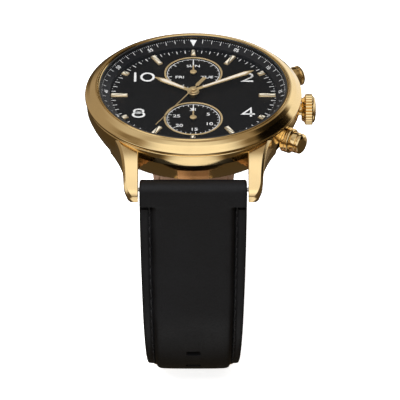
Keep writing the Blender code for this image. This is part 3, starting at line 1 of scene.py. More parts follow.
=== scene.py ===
"""Looks of a gold-tone wristwatch with day and date sub-dials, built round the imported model.

Lengths in the classes are in millimetres, in the watch's own frame: the origin is the centre of the case
back's outer face, +Z points out of the dial, +Y to 12 o'clock and +X to the crown.
"""

import json
import logging
import math
from collections.abc import Callable, Sequence
from dataclasses import dataclass
from enum import Enum

import bmesh
import bpy
from mathutils import Matrix, Vector


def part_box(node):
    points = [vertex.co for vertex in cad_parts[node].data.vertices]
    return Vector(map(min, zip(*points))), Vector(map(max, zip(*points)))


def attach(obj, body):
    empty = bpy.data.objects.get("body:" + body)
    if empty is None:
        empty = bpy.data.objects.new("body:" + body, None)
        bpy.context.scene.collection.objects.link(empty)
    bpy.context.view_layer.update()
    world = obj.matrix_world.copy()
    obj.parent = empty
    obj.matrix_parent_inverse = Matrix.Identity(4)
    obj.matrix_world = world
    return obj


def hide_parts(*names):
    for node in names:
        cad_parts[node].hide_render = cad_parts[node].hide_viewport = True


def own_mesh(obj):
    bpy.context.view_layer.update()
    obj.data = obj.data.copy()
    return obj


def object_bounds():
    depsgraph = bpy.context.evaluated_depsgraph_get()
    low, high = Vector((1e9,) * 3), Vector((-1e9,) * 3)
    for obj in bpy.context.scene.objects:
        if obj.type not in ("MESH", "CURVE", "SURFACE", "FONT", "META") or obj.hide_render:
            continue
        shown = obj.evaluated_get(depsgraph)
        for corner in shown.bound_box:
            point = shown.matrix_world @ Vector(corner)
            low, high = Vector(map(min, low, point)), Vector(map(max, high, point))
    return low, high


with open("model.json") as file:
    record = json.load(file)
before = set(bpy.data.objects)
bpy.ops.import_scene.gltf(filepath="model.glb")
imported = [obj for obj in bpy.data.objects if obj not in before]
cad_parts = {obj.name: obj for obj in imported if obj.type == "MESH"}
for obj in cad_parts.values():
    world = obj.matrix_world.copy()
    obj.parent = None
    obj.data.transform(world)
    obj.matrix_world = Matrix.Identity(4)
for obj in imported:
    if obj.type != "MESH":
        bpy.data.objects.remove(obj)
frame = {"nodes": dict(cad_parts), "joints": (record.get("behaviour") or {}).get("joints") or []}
CAD_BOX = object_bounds()

LOG = logging.getLogger("watch")
MM = 0.001

Colour = tuple[float, float, float]
Flat = tuple[float, float]


class Body(Enum):
    """The bodies that the pieces ride on."""

    CASE = "watch_case"
    HOUR = "hour_group"
    MINUTE = "minute_group"
    SECONDS = "seconds_group"
    DAY = "day_group"
    DATE = "date_group"
    CROWN = "crown_group"
    UPPER_PUSHER = "upper_pusher"
    LOWER_PUSHER = "lower_pusher"
    TONGUE = "tongue"
    KEEPER = "free_keeper"


# ---- Shader building ---------------------------------------------------------------------------------------
class Value:
    """A number socket that can be used in sums."""

    def __init__(self, graph: "Graph", socket: bpy.types.NodeSocket) -> None:
        """Keeps the socket and the graph that it belongs to."""
        self.graph = graph
        self.socket = socket

    def __add__(self, other: "Value | float") -> "Value":
        """This plus other."""
        return self.graph.maths("ADD", self, other)

    __radd__ = __add__

    def __sub__(self, other: "Value | float") -> "Value":
        """This minus other."""
        return self.graph.maths("SUBTRACT", self, other)

    def __rsub__(self, other: float) -> "Value":
        """Other minus this."""
        return self.graph.maths("SUBTRACT", other, self)

    def __mul__(self, other: "Value | float") -> "Value":
        """This times other."""
        return self.graph.maths("MULTIPLY", self, other)

    __rmul__ = __mul__

    def __truediv__(self, other: "Value | float") -> "Value":
        """This over other."""
        return self.graph.maths("DIVIDE", self, other)

    def power(self, exponent: float) -> "Value":
        """This to a power."""
        return self.graph.maths("POWER", self, exponent)

    def smooth(self, low: float, high: float) -> "Value":
        """0 at low and 1 at high, eased at both ends. Low may be the larger.

        Args:
            low: The value that gives 0.
            high: The value that gives 1.

        Returns:
            The eased value.
        """
        made = self.graph.node(
            "ShaderNodeMapRange",
            {"interpolation_type": "SMOOTHSTEP"},
            {"Value": self, "From Min": low, "From Max": high},
        )
        return Value(self.graph, made.outputs["Result"])


Input = "Value | bpy.types.NodeSocket | float | Sequence[float]"


class Graph:
    """Adds nodes to one node tree."""

    def __init__(self, tree: bpy.types.NodeTree) -> None:
        """Keeps the tree."""
        self.tree = tree

    def node(self, kind: str, settings: dict | None = None, inputs: dict | None = None) -> bpy.types.Node:
        """Adds a node.

        Args:
            kind: The node's type.
            settings: Properties, set before the sockets. "stops" are a ramp's (position, colour) pairs.
            inputs: Socket name or index to a value, a Value or another node's socket.

        Returns:
            The node.
        """
        made = self.tree.nodes.new(kind)
        for name, setting in (settings or {}).items():
            if name == "stops":
                elements = made.color_ramp.elements
                for index, (position, colour) in enumerate(setting):
                    stop = elements[index] if index < 2 else elements.new(position)
                    stop.position = position
                    stop.color = (*colour, 1.0)
            else:
                setattr(made, name, setting)
        for name, given in (inputs or {}).items():
            socket = made.inputs[name]
            if isinstance(given, Value):
                self.tree.links.new(given.socket, socket)
            elif isinstance(given, bpy.types.NodeSocket):
                self.tree.links.new(given, socket)
            else:
                socket.default_value = given
        return made

    def maths(self, operation: str, first: "Value | float", second: "Value | float") -> Value:
        """One Math node on two numbers.

        Args:
            operation: The Math node's operation.
            first: Its first number.
            second: Its second number.

        Returns:
            The result.
        """
        made = self.node("ShaderNodeMath", {"operation": operation}, {0: first, 1: second})
        return Value(self, made.outputs[0])

    def place(self) -> bpy.types.NodeSocket:
        """The point on the object, in metres, in the watch's frame at rest."""
        return self.node("ShaderNodeTexCoord").outputs["Object"]

    def stretched(self, scale: Sequence[float]) -> bpy.types.NodeSocket:
        """The point on the object with each axis scaled."""
        return self.node("ShaderNodeMapping", {}, {"Vector": self.place(), "Scale": scale}).outputs[0]

    def noise(self, size: float, detail: float = 2.0, vector: bpy.types.NodeSocket | None = None) -> Value:
        """Noise whose features are about so many millimetres across.

        Args:
            size: The features' size in millimetres.
            detail: How many finer octaves it has.
            vector: The point to read it at, if not the object's own.

        Returns:
            A value near 0.5.
        """
        inputs = {"Vector": vector or self.place(), "Scale": 1 / (size * MM), "Detail": detail}
        return Value(self, self.node("ShaderNodeTexNoise", {}, inputs).outputs["Fac"])

    def cells(self, size: float) -> Value:
        """Distance to the nearest of a set of points that lie about so many millimetres apart."""
        inputs = {"Vector": self.place(), "Scale": 1 / (size * MM)}
        return Value(self, self.node("ShaderNodeTexVoronoi", {}, inputs).outputs["Distance"])

    def mix(self, factor: "Value | float", first: Input, second: Input) -> bpy.types.NodeSocket:
        """A colour between two.

        Args:
            factor: 0 for the first colour and 1 for the second.
            first: A colour or a colour socket.
            second: A colour or a colour socket.

        Returns:
            The mixed colour's socket.
        """
        pair = [(*c, 1.0) if isinstance(c, tuple) else c for c in (first, second)]
        inputs = {0: factor, 6: pair[0], 7: pair[1]}
        return self.node("ShaderNodeMix", {"data_type": "RGBA"}, inputs).outputs[2]

    def bump(self, height: Value, depth: float, strength: float = 1.0) -> bpy.types.NodeSocket:
        """A normal bent by a height.

        Args:
            height: 0 to 1.
            depth: What a height of 1 is, in millimetres.
            strength: How much of it shows.

        Returns:
            The normal's socket.
        """
        inputs = {"Strength": strength, "Distance": depth * MM, "Height": height}
        return self.node("ShaderNodeBump", {}, inputs).outputs["Normal"]

    def ring_radius(self, centre: Flat = (0.0, 0.0)) -> Value:
        """Distance from a line along Z, in millimetres.

        Args:
            centre: Where the line crosses the XY plane, in millimetres.

        Returns:
            The distance.
        """
        shift = (-centre[0] * MM, -centre[1] * MM, 0.0)
        moved_point = self.node("ShaderNodeVectorMath", {"operation": "ADD"}, {0: self.place(), 1: shift})
        flat = self.node(
            "ShaderNodeVectorMath", {"operation": "MULTIPLY"}, {0: moved_point.outputs[0], 1: (1, 1, 0)}
        )
        length = self.node("ShaderNodeVectorMath", {"operation": "LENGTH"}, {0: flat.outputs[0]})
        return Value(self, length.outputs["Value"]) * (1 / MM)


# ---- Finishes ----------------------------------------------------------------------------------------------
@dataclass(frozen=True)
class Finish:
    """What a surface is made of, with its slot in the record."""

    name: str
    slot: str
    colour: Colour
    roughness: float

    def material(self) -> bpy.types.Material:
        """The finish's material, made once.

        Returns:
            The material.
        """
        label = f"{self.name}_finish"
        made = bpy.data.materials.get(label)
        if made is None:
            made = bpy.data.materials.new(label)
            made.use_nodes = True
            shader = made.node_tree.nodes["Principled BSDF"]
            shader.inputs["Base Color"].default_value = (*self.colour, 1.0)
            shader.inputs["Roughness"].default_value = self.roughness
            self.dress(Graph(made.node_tree), shader, made)
        return made

    def dress(self, graph: Graph, shader: bpy.types.Node, made: bpy.types.Material) -> None:
        """Adds the finish's own detail.

        Args:
            graph: The material's nodes.
            shader: Its Principled shader.
            made: The material itself.
        """

    @staticmethod
    def feed(graph: Graph, shader: bpy.types.Node, **sockets: Input) -> None:
        """Links values to the shader's sockets, whose names have _ for a space.

        Args:
            graph: The material's nodes.
            shader: Its Principled shader.
            sockets: What feeds each socket.
        """
        for name, given in sockets.items():
            target = shader.inputs[name.replace("_", " ")]
            graph.tree.links.new(given.socket if isinstance(given, Value) else given, target)


@dataclass(frozen=True)
class PolishedMetal(Finish):
    """Polished plate with faint wipe marks and hairlines."""

    haze: float = 0.05
    hairline: float = 0.0006
    metallic: float = 1.0

    def dress(self, graph: Graph, shader: bpy.types.Node, made: bpy.types.Material) -> None:
        """Adds patches of haze and hairlines.

        Args:
            graph: The material's nodes.
            shader: Its Principled shader.
            made: The material itself.
        """
        shader.inputs["Metallic"].default_value = self.metallic
        patches = graph.noise(6.0, 3.0).smooth(0.42, 0.72)
        lines = graph.noise(0.25, 2.0, graph.stretched((1.0, 0.12, 0.6)))
        warm = tuple(c * 0.94 for c in self.colour)
        self.feed(
            graph, shader,
            Base_Color=graph.mix(patches, self.colour, warm),
            Roughness=self.roughness + self.haze * patches + 0.02 * lines,
            Normal=graph.bump(lines, self.hairline),
        )


@dataclass(frozen=True)
class BrushedMetal(Finish):
    """Metal brushed along one axis, or round Z where the stretch is None."""

    stretch: tuple[float, float, float] | None = (1.0, 0.03, 1.0)
    grain: float = 0.12
    depth: float = 0.004

    def dress(self, graph: Graph, shader: bpy.types.Node, made: bpy.types.Material) -> None:
        """Adds brush lines to the roughness and the normal.

        Args:
            graph: The material's nodes.
            shader: Its Principled shader.
            made: The material itself.
        """
        shader.inputs["Metallic"].default_value = 1.0
        if self.stretch is None:
            radius = graph.ring_radius()
            wave = {"Scale": 1.0, "Detail": 3.0, "W": radius * 9.0}
            lines = Value(
                graph, graph.node("ShaderNodeTexNoise", {"noise_dimensions": "1D"}, wave).outputs["Fac"]
            )
        else:
            lines = graph.noise(self.grain, 3.0, graph.stretched(self.stretch))
        dull = tuple(c * 0.86 for c in self.colour)
        self.feed(
            graph, shader,
            Base_Color=graph.mix(lines.smooth(0.35, 0.7), self.colour, dull),
            Roughness=self.roughness + 0.16 * (lines - 0.5),
            Normal=graph.bump(lines, self.depth),
        )


@dataclass(frozen=True)
class Glass(Finish):
    """Clear crystal: it shows what is under it and mirrors more at a slant."""

    clear: float = 0.02
    slant: float = 0.3

    def dress(self, graph: Graph, shader: bpy.types.Node, made: bpy.types.Material) -> None:
        """Thins the surface by its slant and adds faint smears.

        Args:
            graph: The material's nodes.
            shader: Its Principled shader.
            made: The material itself.
        """
        facing = graph.node("ShaderNodeLayerWeight", {}, {"Blend": 0.28})
        fresnel = Value(graph, facing.outputs["Fresnel"])
        smears = graph.noise(5.0, 3.0).smooth(0.45, 0.75)
        self.feed(
            graph, shader,
            Alpha=self.clear + self.slant * fresnel,
            Roughness=self.roughness + 0.02 * smears,
        )
        made.surface_render_method = "BLENDED"


@dataclass(frozen=True)
class Lacquer(Finish):
    """Satin black lacquer with fine turned rings where it is set to have them."""

    rings: tuple[Flat, ...] = ()
    ring_reach: float = 5.2
    # glow is a painted sheen: the colour of the dial's paler middle, out to glow_reach.
    glow: Colour = (0.004, 0.004, 0.005)
    glow_reach: float = 15.2

    def dress(self, graph: Graph, shader: bpy.types.Node, made: bpy.types.Material) -> None:
        """Adds a painted sheen, a slightly paler middle, with a fine speckle and the turned rings.

        Args:
            graph: The material's nodes.
            shader: Its Principled shader.
            made: The material itself.
        """
        speckle = graph.noise(0.09, 2.0)
        height = speckle * 0.12
        # Painted sheen: the middle is paler, half as much in the sub-dials.
        inner = graph.ring_radius().smooth(self.glow_reach + 0.12, self.glow_reach)
        for centre in self.rings:
            radius = graph.ring_radius(centre)
            groove = graph.maths("SINE", radius * 34.0, 0.0) * 0.5 + 0.5
            inside = radius.smooth(self.ring_reach, self.ring_reach - 0.15)
            height = height + groove * inside
            inner = inner * (1 - inside * 0.5)
        self.feed(
            graph, shader,
            Base_Color=graph.mix(inner, self.colour, self.glow),
            Roughness=self.roughness + 0.1 * (speckle - 0.5),
            Normal=graph.bump(height, 0.006),
        )


@dataclass(frozen=True)
class Paint(Finish):
    """Thick matt paint with a slightly uneven face."""

    grain: float = 0.12
    # glow is painted light: how strongly the paint shines of its own.
    glow: float = 0.0

    def dress(self, graph: Graph, shader: bpy.types.Node, made: bpy.types.Material) -> None:
        """Adds grain and, where glow is set, painted light: the paint shines a little of its own, to look
        brighter.

        Args:
            graph: The material's nodes.
            shader: Its Principled shader.
            made: The material itself.
        """
        grain = graph.noise(self.grain, 2.0)
        pale = tuple(min(1.0, c * 1.06) for c in self.colour)
        self.feed(
            graph, shader, Base_Color=graph.mix(grain, self.colour, pale), Normal=graph.bump(grain, 0.01)
        )
        # Painted light: the paint gives off its own colour, so it looks brighter than the lamps make it.
        if self.glow:
            shader.inputs["Emission Color"].default_value = (*self.colour, 1.0)
            shader.inputs["Emission Strength"].default_value = self.glow


@dataclass(frozen=True)
class Leather(Finish):
    """Leather with pebbled grain, creases and worn patches."""

    pale: Colour = (0.03, 0.03, 0.032)
    pebble: float = 0.42
    pebble_depth: float = 0.03
    crease_depth: float = 0.05

    def dress(self, graph: Graph, shader: bpy.types.Node, made: bpy.types.Material) -> None:
        """Adds pebbles, pores and creases, with a little colour change.

        Args:
            graph: The material's nodes.
            shader: Its Principled shader.
            made: The material itself.
        """
        pebbles = graph.cells(self.pebble)
        creases = graph.noise(2.4, 4.0, graph.stretched((1.0, 1.6, 1.6)))
        pores = graph.noise(0.16, 2.0).smooth(0.3, 0.5)
        wear = graph.noise(9.0, 3.0).smooth(0.4, 0.75)
        height = (1 - pebbles.power(1.6)) * 0.7 + pores * 0.3
        fine = graph.bump(height, self.pebble_depth)
        bump = graph.node(
            "ShaderNodeBump", {},
            {"Strength": 0.6, "Distance": self.crease_depth * MM, "Height": creases, "Normal": fine},
        )
        self.feed(
            graph, shader,
            Base_Color=graph.mix(wear * 0.6 + (1 - pores) * 0.25, self.colour, self.pale),
            Roughness=self.roughness + 0.1 * wear + 0.12 * (pebbles - 0.4),
            Normal=bump.outputs["Normal"],
        )
        shader.inputs["Specular IOR Level"].default_value = 0.32


@dataclass(frozen=True)
class Thread(Finish):
    """Waxed thread, twisted across its length."""

    def dress(self, graph: Graph, shader: bpy.types.Node, made: bpy.types.Material) -> None:
        """Adds the twist as fine slanted bands.

        Args:
            graph: The material's nodes.
            shader: Its Principled shader.
            made: The material itself.
        """
        twist = graph.noise(0.09, 1.0, graph.stretched((1.0, 1.0, 3.0)))
        self.feed(
            graph, shader, Roughness=self.roughness + 0.2 * (twist - 0.5), Normal=graph.bump(twist, 0.03)
        )


GOLD = PolishedMetal("polished_gold", "gold_plate", (0.89, 0.66, 0.33), 0.085)
SATIN_GOLD = PolishedMetal("satin_gold", "gold_plate", (0.89, 0.66, 0.34), 0.2, 0.05, 0.0012)
HAND_GOLD = PolishedMetal("hand_gold", "gold_plate", (0.90, 0.68, 0.36), 0.34, 0.03, 0.0005, 0.6)
MARKER_GOLD = PolishedMetal("marker_gold", "marker_gold", (0.9, 0.7, 0.42), 0.3, 0.03, 0.0005, 0.6)
STEEL = BrushedMetal("brushed_steel", "steel", (0.62, 0.62, 0.63), 0.28)
BACK_STEEL = BrushedMetal("turned_steel", "steel", (0.63, 0.63, 0.64), 0.26, None)
BRASS = BrushedMetal("movement_brass", "movement_brass", (0.76, 0.56, 0.26), 0.34, None)
CRYSTAL = Glass("crystal_glass", "crystal_glass", (0.01, 0.012, 0.014), 0.02)
# The lacquers' glow colours paint a sheen on the middle of the dial.
DIAL_BLACK = Lacquer("dial_lacquer", "dial_black", (0.004, 0.004, 0.005), 0.42, ((0.0, 8.3), (0.0, -8.3)))
RING_BLACK = Lacquer(
    "chapter_lacquer", "dial_black", (0.006, 0.006, 0.008), 0.34, (), 5.2, (0.01, 0.01, 0.012)
)
# The glow on the white ink and the lume is painted light that makes them look brighter.
INK = Paint("white_ink", "dial_black", (0.88, 0.89, 0.90), 0.5, 0.4)
LUME = Paint("hand_lume", "marker_gold", (0.88, 0.80, 0.68), 0.55, 0.4)
MARKER_LUME = Paint("marker_lume", "marker_gold", (0.95, 0.87, 0.70), 0.5, 0.45)
RUBBER = Paint("gasket_rubber", "gasket_rubber", (0.02, 0.02, 0.02), 0.65)
PLASTIC = Paint("movement_plastic", "movement_plastic", (0.8, 0.8, 0.78), 0.5)
LEATHER = Leather("black_leather", "strap_leather", (0.003, 0.0031, 0.0038), 0.47, (0.006, 0.0062, 0.0074))
EDGE_LEATHER = Leather(
    "keeper_leather", "strap_leather", (0.010, 0.010, 0.011), 0.42, (0.018, 0.018, 0.02), 0.3
)
LINING = Leather("tan_lining", "lining_leather", (0.56, 0.36, 0.25), 0.66, (0.66, 0.46, 0.34), 0.3, 0.02)
BLACK_THREAD = Thread("black_thread", "strap_leather", (0.008, 0.008, 0.009), 0.5)
TAN_THREAD = Thread("tan_thread", "lining_leather", (0.42, 0.25, 0.16), 0.6)


# ---- Mesh building -----------------------------------------------------------------------------------------
def piece(
    name: str, bm: bmesh.types.BMesh, finish: Finish, body: Body, stands_for: Sequence[str] = (),
    sharp: float = 32.0, merge: float = 1e-5,
) -> bpy.types.Object:
    """Makes a shown piece from a bmesh drawn in millimetres.

    Args:
        name: The piece's name.
        bm: Its mesh, which is used up.
        finish: What it is made of.
        body: What it rides on.
        stands_for: The model's nodes that it replaces.
        sharp: Edges that turn more than this many degrees stay sharp.
        merge: Points closer than this, in millimetres, are joined.

    Returns:
        The piece.
    """
    if merge:
        bmesh.ops.remove_doubles(bm, verts=bm.verts, dist=merge)
    bmesh.ops.recalc_face_normals(bm, faces=bm.faces)
    bmesh.ops.scale(bm, vec=(MM, MM, MM), verts=bm.verts)
    mesh = bpy.data.meshes.new(name)
    bm.to_mesh(mesh)
    bm.free()
    mesh.shade_smooth()
    mesh.set_sharp_from_angle(angle=math.radians(sharp))
    mesh.materials.append(finish.material())
    made = bpy.data.objects.new(name, mesh)
    bpy.context.scene.collection.objects.link(made)
    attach(made, body.value)
    if stands_for:
        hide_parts(*stands_for)
    LOG.info("%s: %d faces, rides on %s", name, len(mesh.polygons), body.value)
    return made


def helper(name: str, bm: bmesh.types.BMesh) -> bpy.types.Object:
    """A loose object in metres that cuts or joins another one.

    Args:
        name: Its name.
        bm: Its mesh in millimetres, which is used up.

    Returns:
        The object.
    """
    bmesh.ops.remove_doubles(bm, verts=bm.verts, dist=1e-5)
    bmesh.ops.recalc_face_normals(bm, faces=bm.faces)
    bmesh.ops.scale(bm, vec=(MM, MM, MM), verts=bm.verts)
    mesh = bpy.data.meshes.new(name)
    bm.to_mesh(mesh)
    bm.free()
    made = bpy.data.objects.new(name, mesh)
    bpy.context.scene.collection.objects.link(made)
    return made


def combined(bm: bmesh.types.BMesh, others: Sequence[bmesh.types.BMesh], operation: str) -> bmesh.types.BMesh:
    """Cuts one mesh with others, or joins them.

    Args:
        bm: The mesh to work on, in millimetres, which is used up.
        others: The meshes to cut or join with, which are used up.
        operation: DIFFERENCE, UNION or INTERSECT.

    Returns:
        The result in millimetres.
    """
    base = helper("work_base", bm)
    tools = [helper(f"work_tool_{i}", other) for i, other in enumerate(others)]
    for tool in tools:
        modifier = base.modifiers.new("work", "BOOLEAN")
        modifier.operation = operation
        modifier.object = tool
        modifier.solver = "EXACT"
    graph = bpy.context.evaluated_depsgraph_get()
    mesh = bpy.data.meshes.new_from_object(base.evaluated_get(graph))
    result = bmesh.new()
    result.from_mesh(mesh)
    bmesh.ops.scale(result, vec=(1 / MM, 1 / MM, 1 / MM), verts=result.verts)
    for made in (base, *tools):
        old = made.data
        bpy.data.objects.remove(made)
        bpy.data.meshes.remove(old)
    bpy.data.meshes.remove(mesh)
    return result


def filleted(
    corners: Sequence[tuple[float, float, float]], closed: bool = True, steps: int = 6
) -> list[Flat]:
    """Rounds the corners of an outline.

    Args:
        corners: (x, y, radius) for each corner.
        closed: Whether the last corner joins the first.
        steps: How many pieces each arc has.

    Returns:
        The rounded outline's points.
    """
    points: list[Flat] = []
    count = len(corners)
    for i, (x, y, radius) in enumerate(corners):
        here = Vector((x, y))
        if radius <= 0 or (not closed and i in (0, count - 1)):
            points.append((x, y))
            continue
        before = Vector(corners[i - 1][:2]) - here
        after = Vector(corners[(i + 1) % count][:2]) - here
        half_angle = before.angle(after) / 2
        reach = min(radius / math.tan(half_angle), 0.49 * before.length, 0.49 * after.length)
        first, last = here + before.normalized() * reach, here + after.normalized() * reach
        for k in range(steps + 1):
            t = k / steps
            # A conic weight of sin(half_angle) makes the curve a true arc.
            weight = math.sin(half_angle)
            a, b, c = (1 - t) ** 2, 2 * weight * t * (1 - t), t * t
            p = (first * a + here * b + last * c) / (a + b + c)
            points.append((p.x, p.y))
    return points


def turned(
    profile: Sequence[Flat], segments: int = 256, flutes: int = 0, depth: float = 0.0, band: Flat = (0.0, 0.0)
) -> bmesh.types.BMesh:
    """A solid of revolution about Z.

    Args:
        profile: (radius, height) points. A profile off the axis is a closed ring.
        segments: How many steps it has round the axis.
        flutes: How many rounded flutes run round it.
        depth: How deep the flutes are.
        band: Heights between which the outer points are fluted.

    Returns:
        The mesh.
    """
    bm = bmesh.new()
    rings: list[list[bmesh.types.BMVert]] = []
    widest = max(r for r, _ in profile)
    for radius, height in profile:
        if radius < 1e-6:
            rings.append([bm.verts.new((0.0, 0.0, height))])
            continue
        ring = []
        for k in range(segments):
            angle = 2 * math.pi * k / segments
            dip = 0.0
            if flutes and band[0] <= height <= band[1] and radius > widest - 0.7:
                dip = depth * abs(math.sin(angle * flutes / 2)) ** 0.7 - depth
            ring.append(
                bm.verts.new(((radius + dip) * math.cos(angle), (radius + dip) * math.sin(angle), height))
            )
        rings.append(ring)
    pairs = list(zip(rings, rings[1:]))
    if len(rings[0]) > 1 or len(rings[-1]) > 1:
        pairs.append((rings[-1], rings[0]))
    for low, high in pairs:
        for k in range(segments):
            after = (k + 1) % segments
            if len(low) > 1 and len(high) > 1:
                bm.faces.new((low[k], low[after], high[after], high[k]))
            elif len(low) > 1:
                bm.faces.new((low[k], low[after], high[0]))
            elif len(high) > 1:
                bm.faces.new((low[0], high[after], high[k]))
    return bm


def loft(rings: Sequence[Sequence[Vector]], caps: bool = True) -> bmesh.types.BMesh:
    """A solid through rings of points.

    Args:
        rings: Rings with the same number of points.
        caps: Whether the ends are closed.

    Returns:
        The mesh.
    """
    bm = bmesh.new()
    rows = [[bm.verts.new(p) for p in ring] for ring in rings]
    count = len(rows[0])
    for a, b in zip(rows, rows[1:]):
        for i in range(count):
            bm.faces.new((a[i], a[(i + 1) % count], b[(i + 1) % count], b[i]))
    if caps:
        bm.faces.new(rows[0])
        bm.faces.new(list(reversed(rows[-1])))
    return bm


def inset(outline: Sequence[Flat], distance: float) -> list[Flat]:
    """An outline moved inwards by a small distance.

    Args:
        outline: The outline, either way round.
        distance: How far it moves.

    Returns:
        The new outline, point for point.
    """
    area = sum(a[0] * b[1] - b[0] * a[1] for a, b in zip(outline, list(outline[1:]) + [outline[0]]))
    side = 1.0 if area > 0 else -1.0
    moved_points = []
    for i, (x, y) in enumerate(outline):
        before = Vector(outline[i]) - Vector(outline[i - 1])
        after = Vector(outline[(i + 1) % len(outline)]) - Vector(outline[i])
        normals = [Vector((-d.y, d.x)).normalized() * side for d in (before, after)]
        middle = (normals[0] + normals[1]).normalized()
        stretch = 1 / max(0.45, middle.dot(normals[0]))
        moved_points.append((x + middle.x * distance * stretch, y + middle.y * distance * stretch))
    return moved_points


def plate(
    outline: Sequence[Flat], bottom: float, top: float, chamfer: float = 0.0,
    hole: Sequence[Flat] | None = None, both: bool = False,
) -> bmesh.types.BMesh:
    """A flat plate with chamfered edges and, if wanted, a hole.

    Args:
        outline: Its edge.
        bottom: Height of its lower face.
        top: Height of its upper face.
        chamfer: Width of the chamfer.
        hole: The hole's edge.
        both: Whether the lower edge is chamfered too.

    Returns:
        The mesh.
    """
    bm = bmesh.new()

    def loop(points: Sequence[Flat], height: float) -> list[bmesh.types.BMVert]:
        """The points as vertices at a height."""
        return [bm.verts.new((x, y, height)) for x, y in points]

    def stack(points: Sequence[Flat], direction: float) -> list[list[bmesh.types.BMVert]]:
        """The loops that an edge is made of, from the bottom up.

        Args:
            points: The edge.
            direction: 1 to chamfer inwards, and -1 outwards.

        Returns:
            The loops.
        """
        levels = [(bottom, chamfer if both else 0.0)]
        if both and chamfer:
            levels.append((bottom + chamfer, 0.0))
        if chamfer:
            levels += [(top - chamfer, 0.0), (top, chamfer)]
        else:
            levels.append((top, 0.0))
        return [loop(inset(points, direction * d) if d else points, z) for z, d in levels]

    stacks = [stack(outline, 1.0)] + ([stack(hole, -1.0)] if hole else [])
    for loops in stacks:
        for low, high in zip(loops, loops[1:]):
            for i in range(len(low)):
                after = (i + 1) % len(low)
                bm.faces.new((low[i], low[after], high[after], high[i]))
    for end in (0, -1):
        edges = []
        for loops in stacks:
            ring = loops[end]
            edges += [bm.edges.get((a, b)) or bm.edges.new((a, b)) for a, b in zip(ring, ring[1:] + ring[:1])]
        bmesh.ops.triangle_fill(bm, use_beauty=True, use_dissolve=True, edges=edges)
    return bm


def joined(parts: Sequence[bmesh.types.BMesh]) -> bmesh.types.BMesh:
    """Several meshes in one, as separate bodies.

    Args:
        parts: The meshes, which are used up.

    Returns:
        The one mesh.
    """
    whole = bmesh.new()
    for part in parts:
        mesh = bpy.data.meshes.new("work")
        part.to_mesh(mesh)
        part.free()
        whole.from_mesh(mesh)
        bpy.data.meshes.remove(mesh)
    return whole


def moved(bm: bmesh.types.BMesh, matrix: Matrix) -> bmesh.types.BMesh:
    """The same mesh, turned and moved."""
    bm.transform(matrix)
    return bm


def circle(radius: float, steps: int = 48, centre: Flat = (0.0, 0.0)) -> list[Flat]:
    """Points of a circle."""
    turns = (2 * math.pi / steps * k for k in range(steps))
    return [(centre[0] + radius * math.cos(turn), centre[1] + radius * math.sin(turn)) for turn in turns]


def clock_turn(degrees: float, centre: Flat = (0.0, 0.0)) -> Matrix:
    """Turns what is drawn towards +Y to a clock angle about a centre."""
    return Matrix.Translation((*centre, 0)) @ Matrix.Rotation(-math.radians(degrees), 4, "Z")


def axis_out(degrees: float, height: float) -> Matrix:
    """Carries what is drawn about Z to an axis out of the case, so far round from +X."""
    turn = Matrix.Rotation(math.radians(degrees), 4, "Z") @ Matrix.Rotation(math.pi / 2, 4, "Y")
    return Matrix.Translation((0, 0, height)) @ turn


def across(y: float, z: float) -> Matrix:
    """Carries what is drawn about Z to an axis along X."""
    return Matrix.Translation((0, y, z)) @ Matrix.Rotation(math.pi / 2, 4, "Y")


SIDEWAYS = Matrix(((0, 0, 1, 0), (1, 0, 0, 0), (0, 1, 0, 0), (0, 0, 0, 1)))  # drawn (y, z, x) to (x, y, z)


def node_box(name: str) -> tuple[Vector, Vector]:
    """A model node's lowest and highest corner in millimetres."""
    low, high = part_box(name)
    return Vector(low) / MM, Vector(high) / MM


def joint(name: str) -> dict:
    """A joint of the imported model."""
    return next(j for j in frame["joints"] if j["name"] == name)


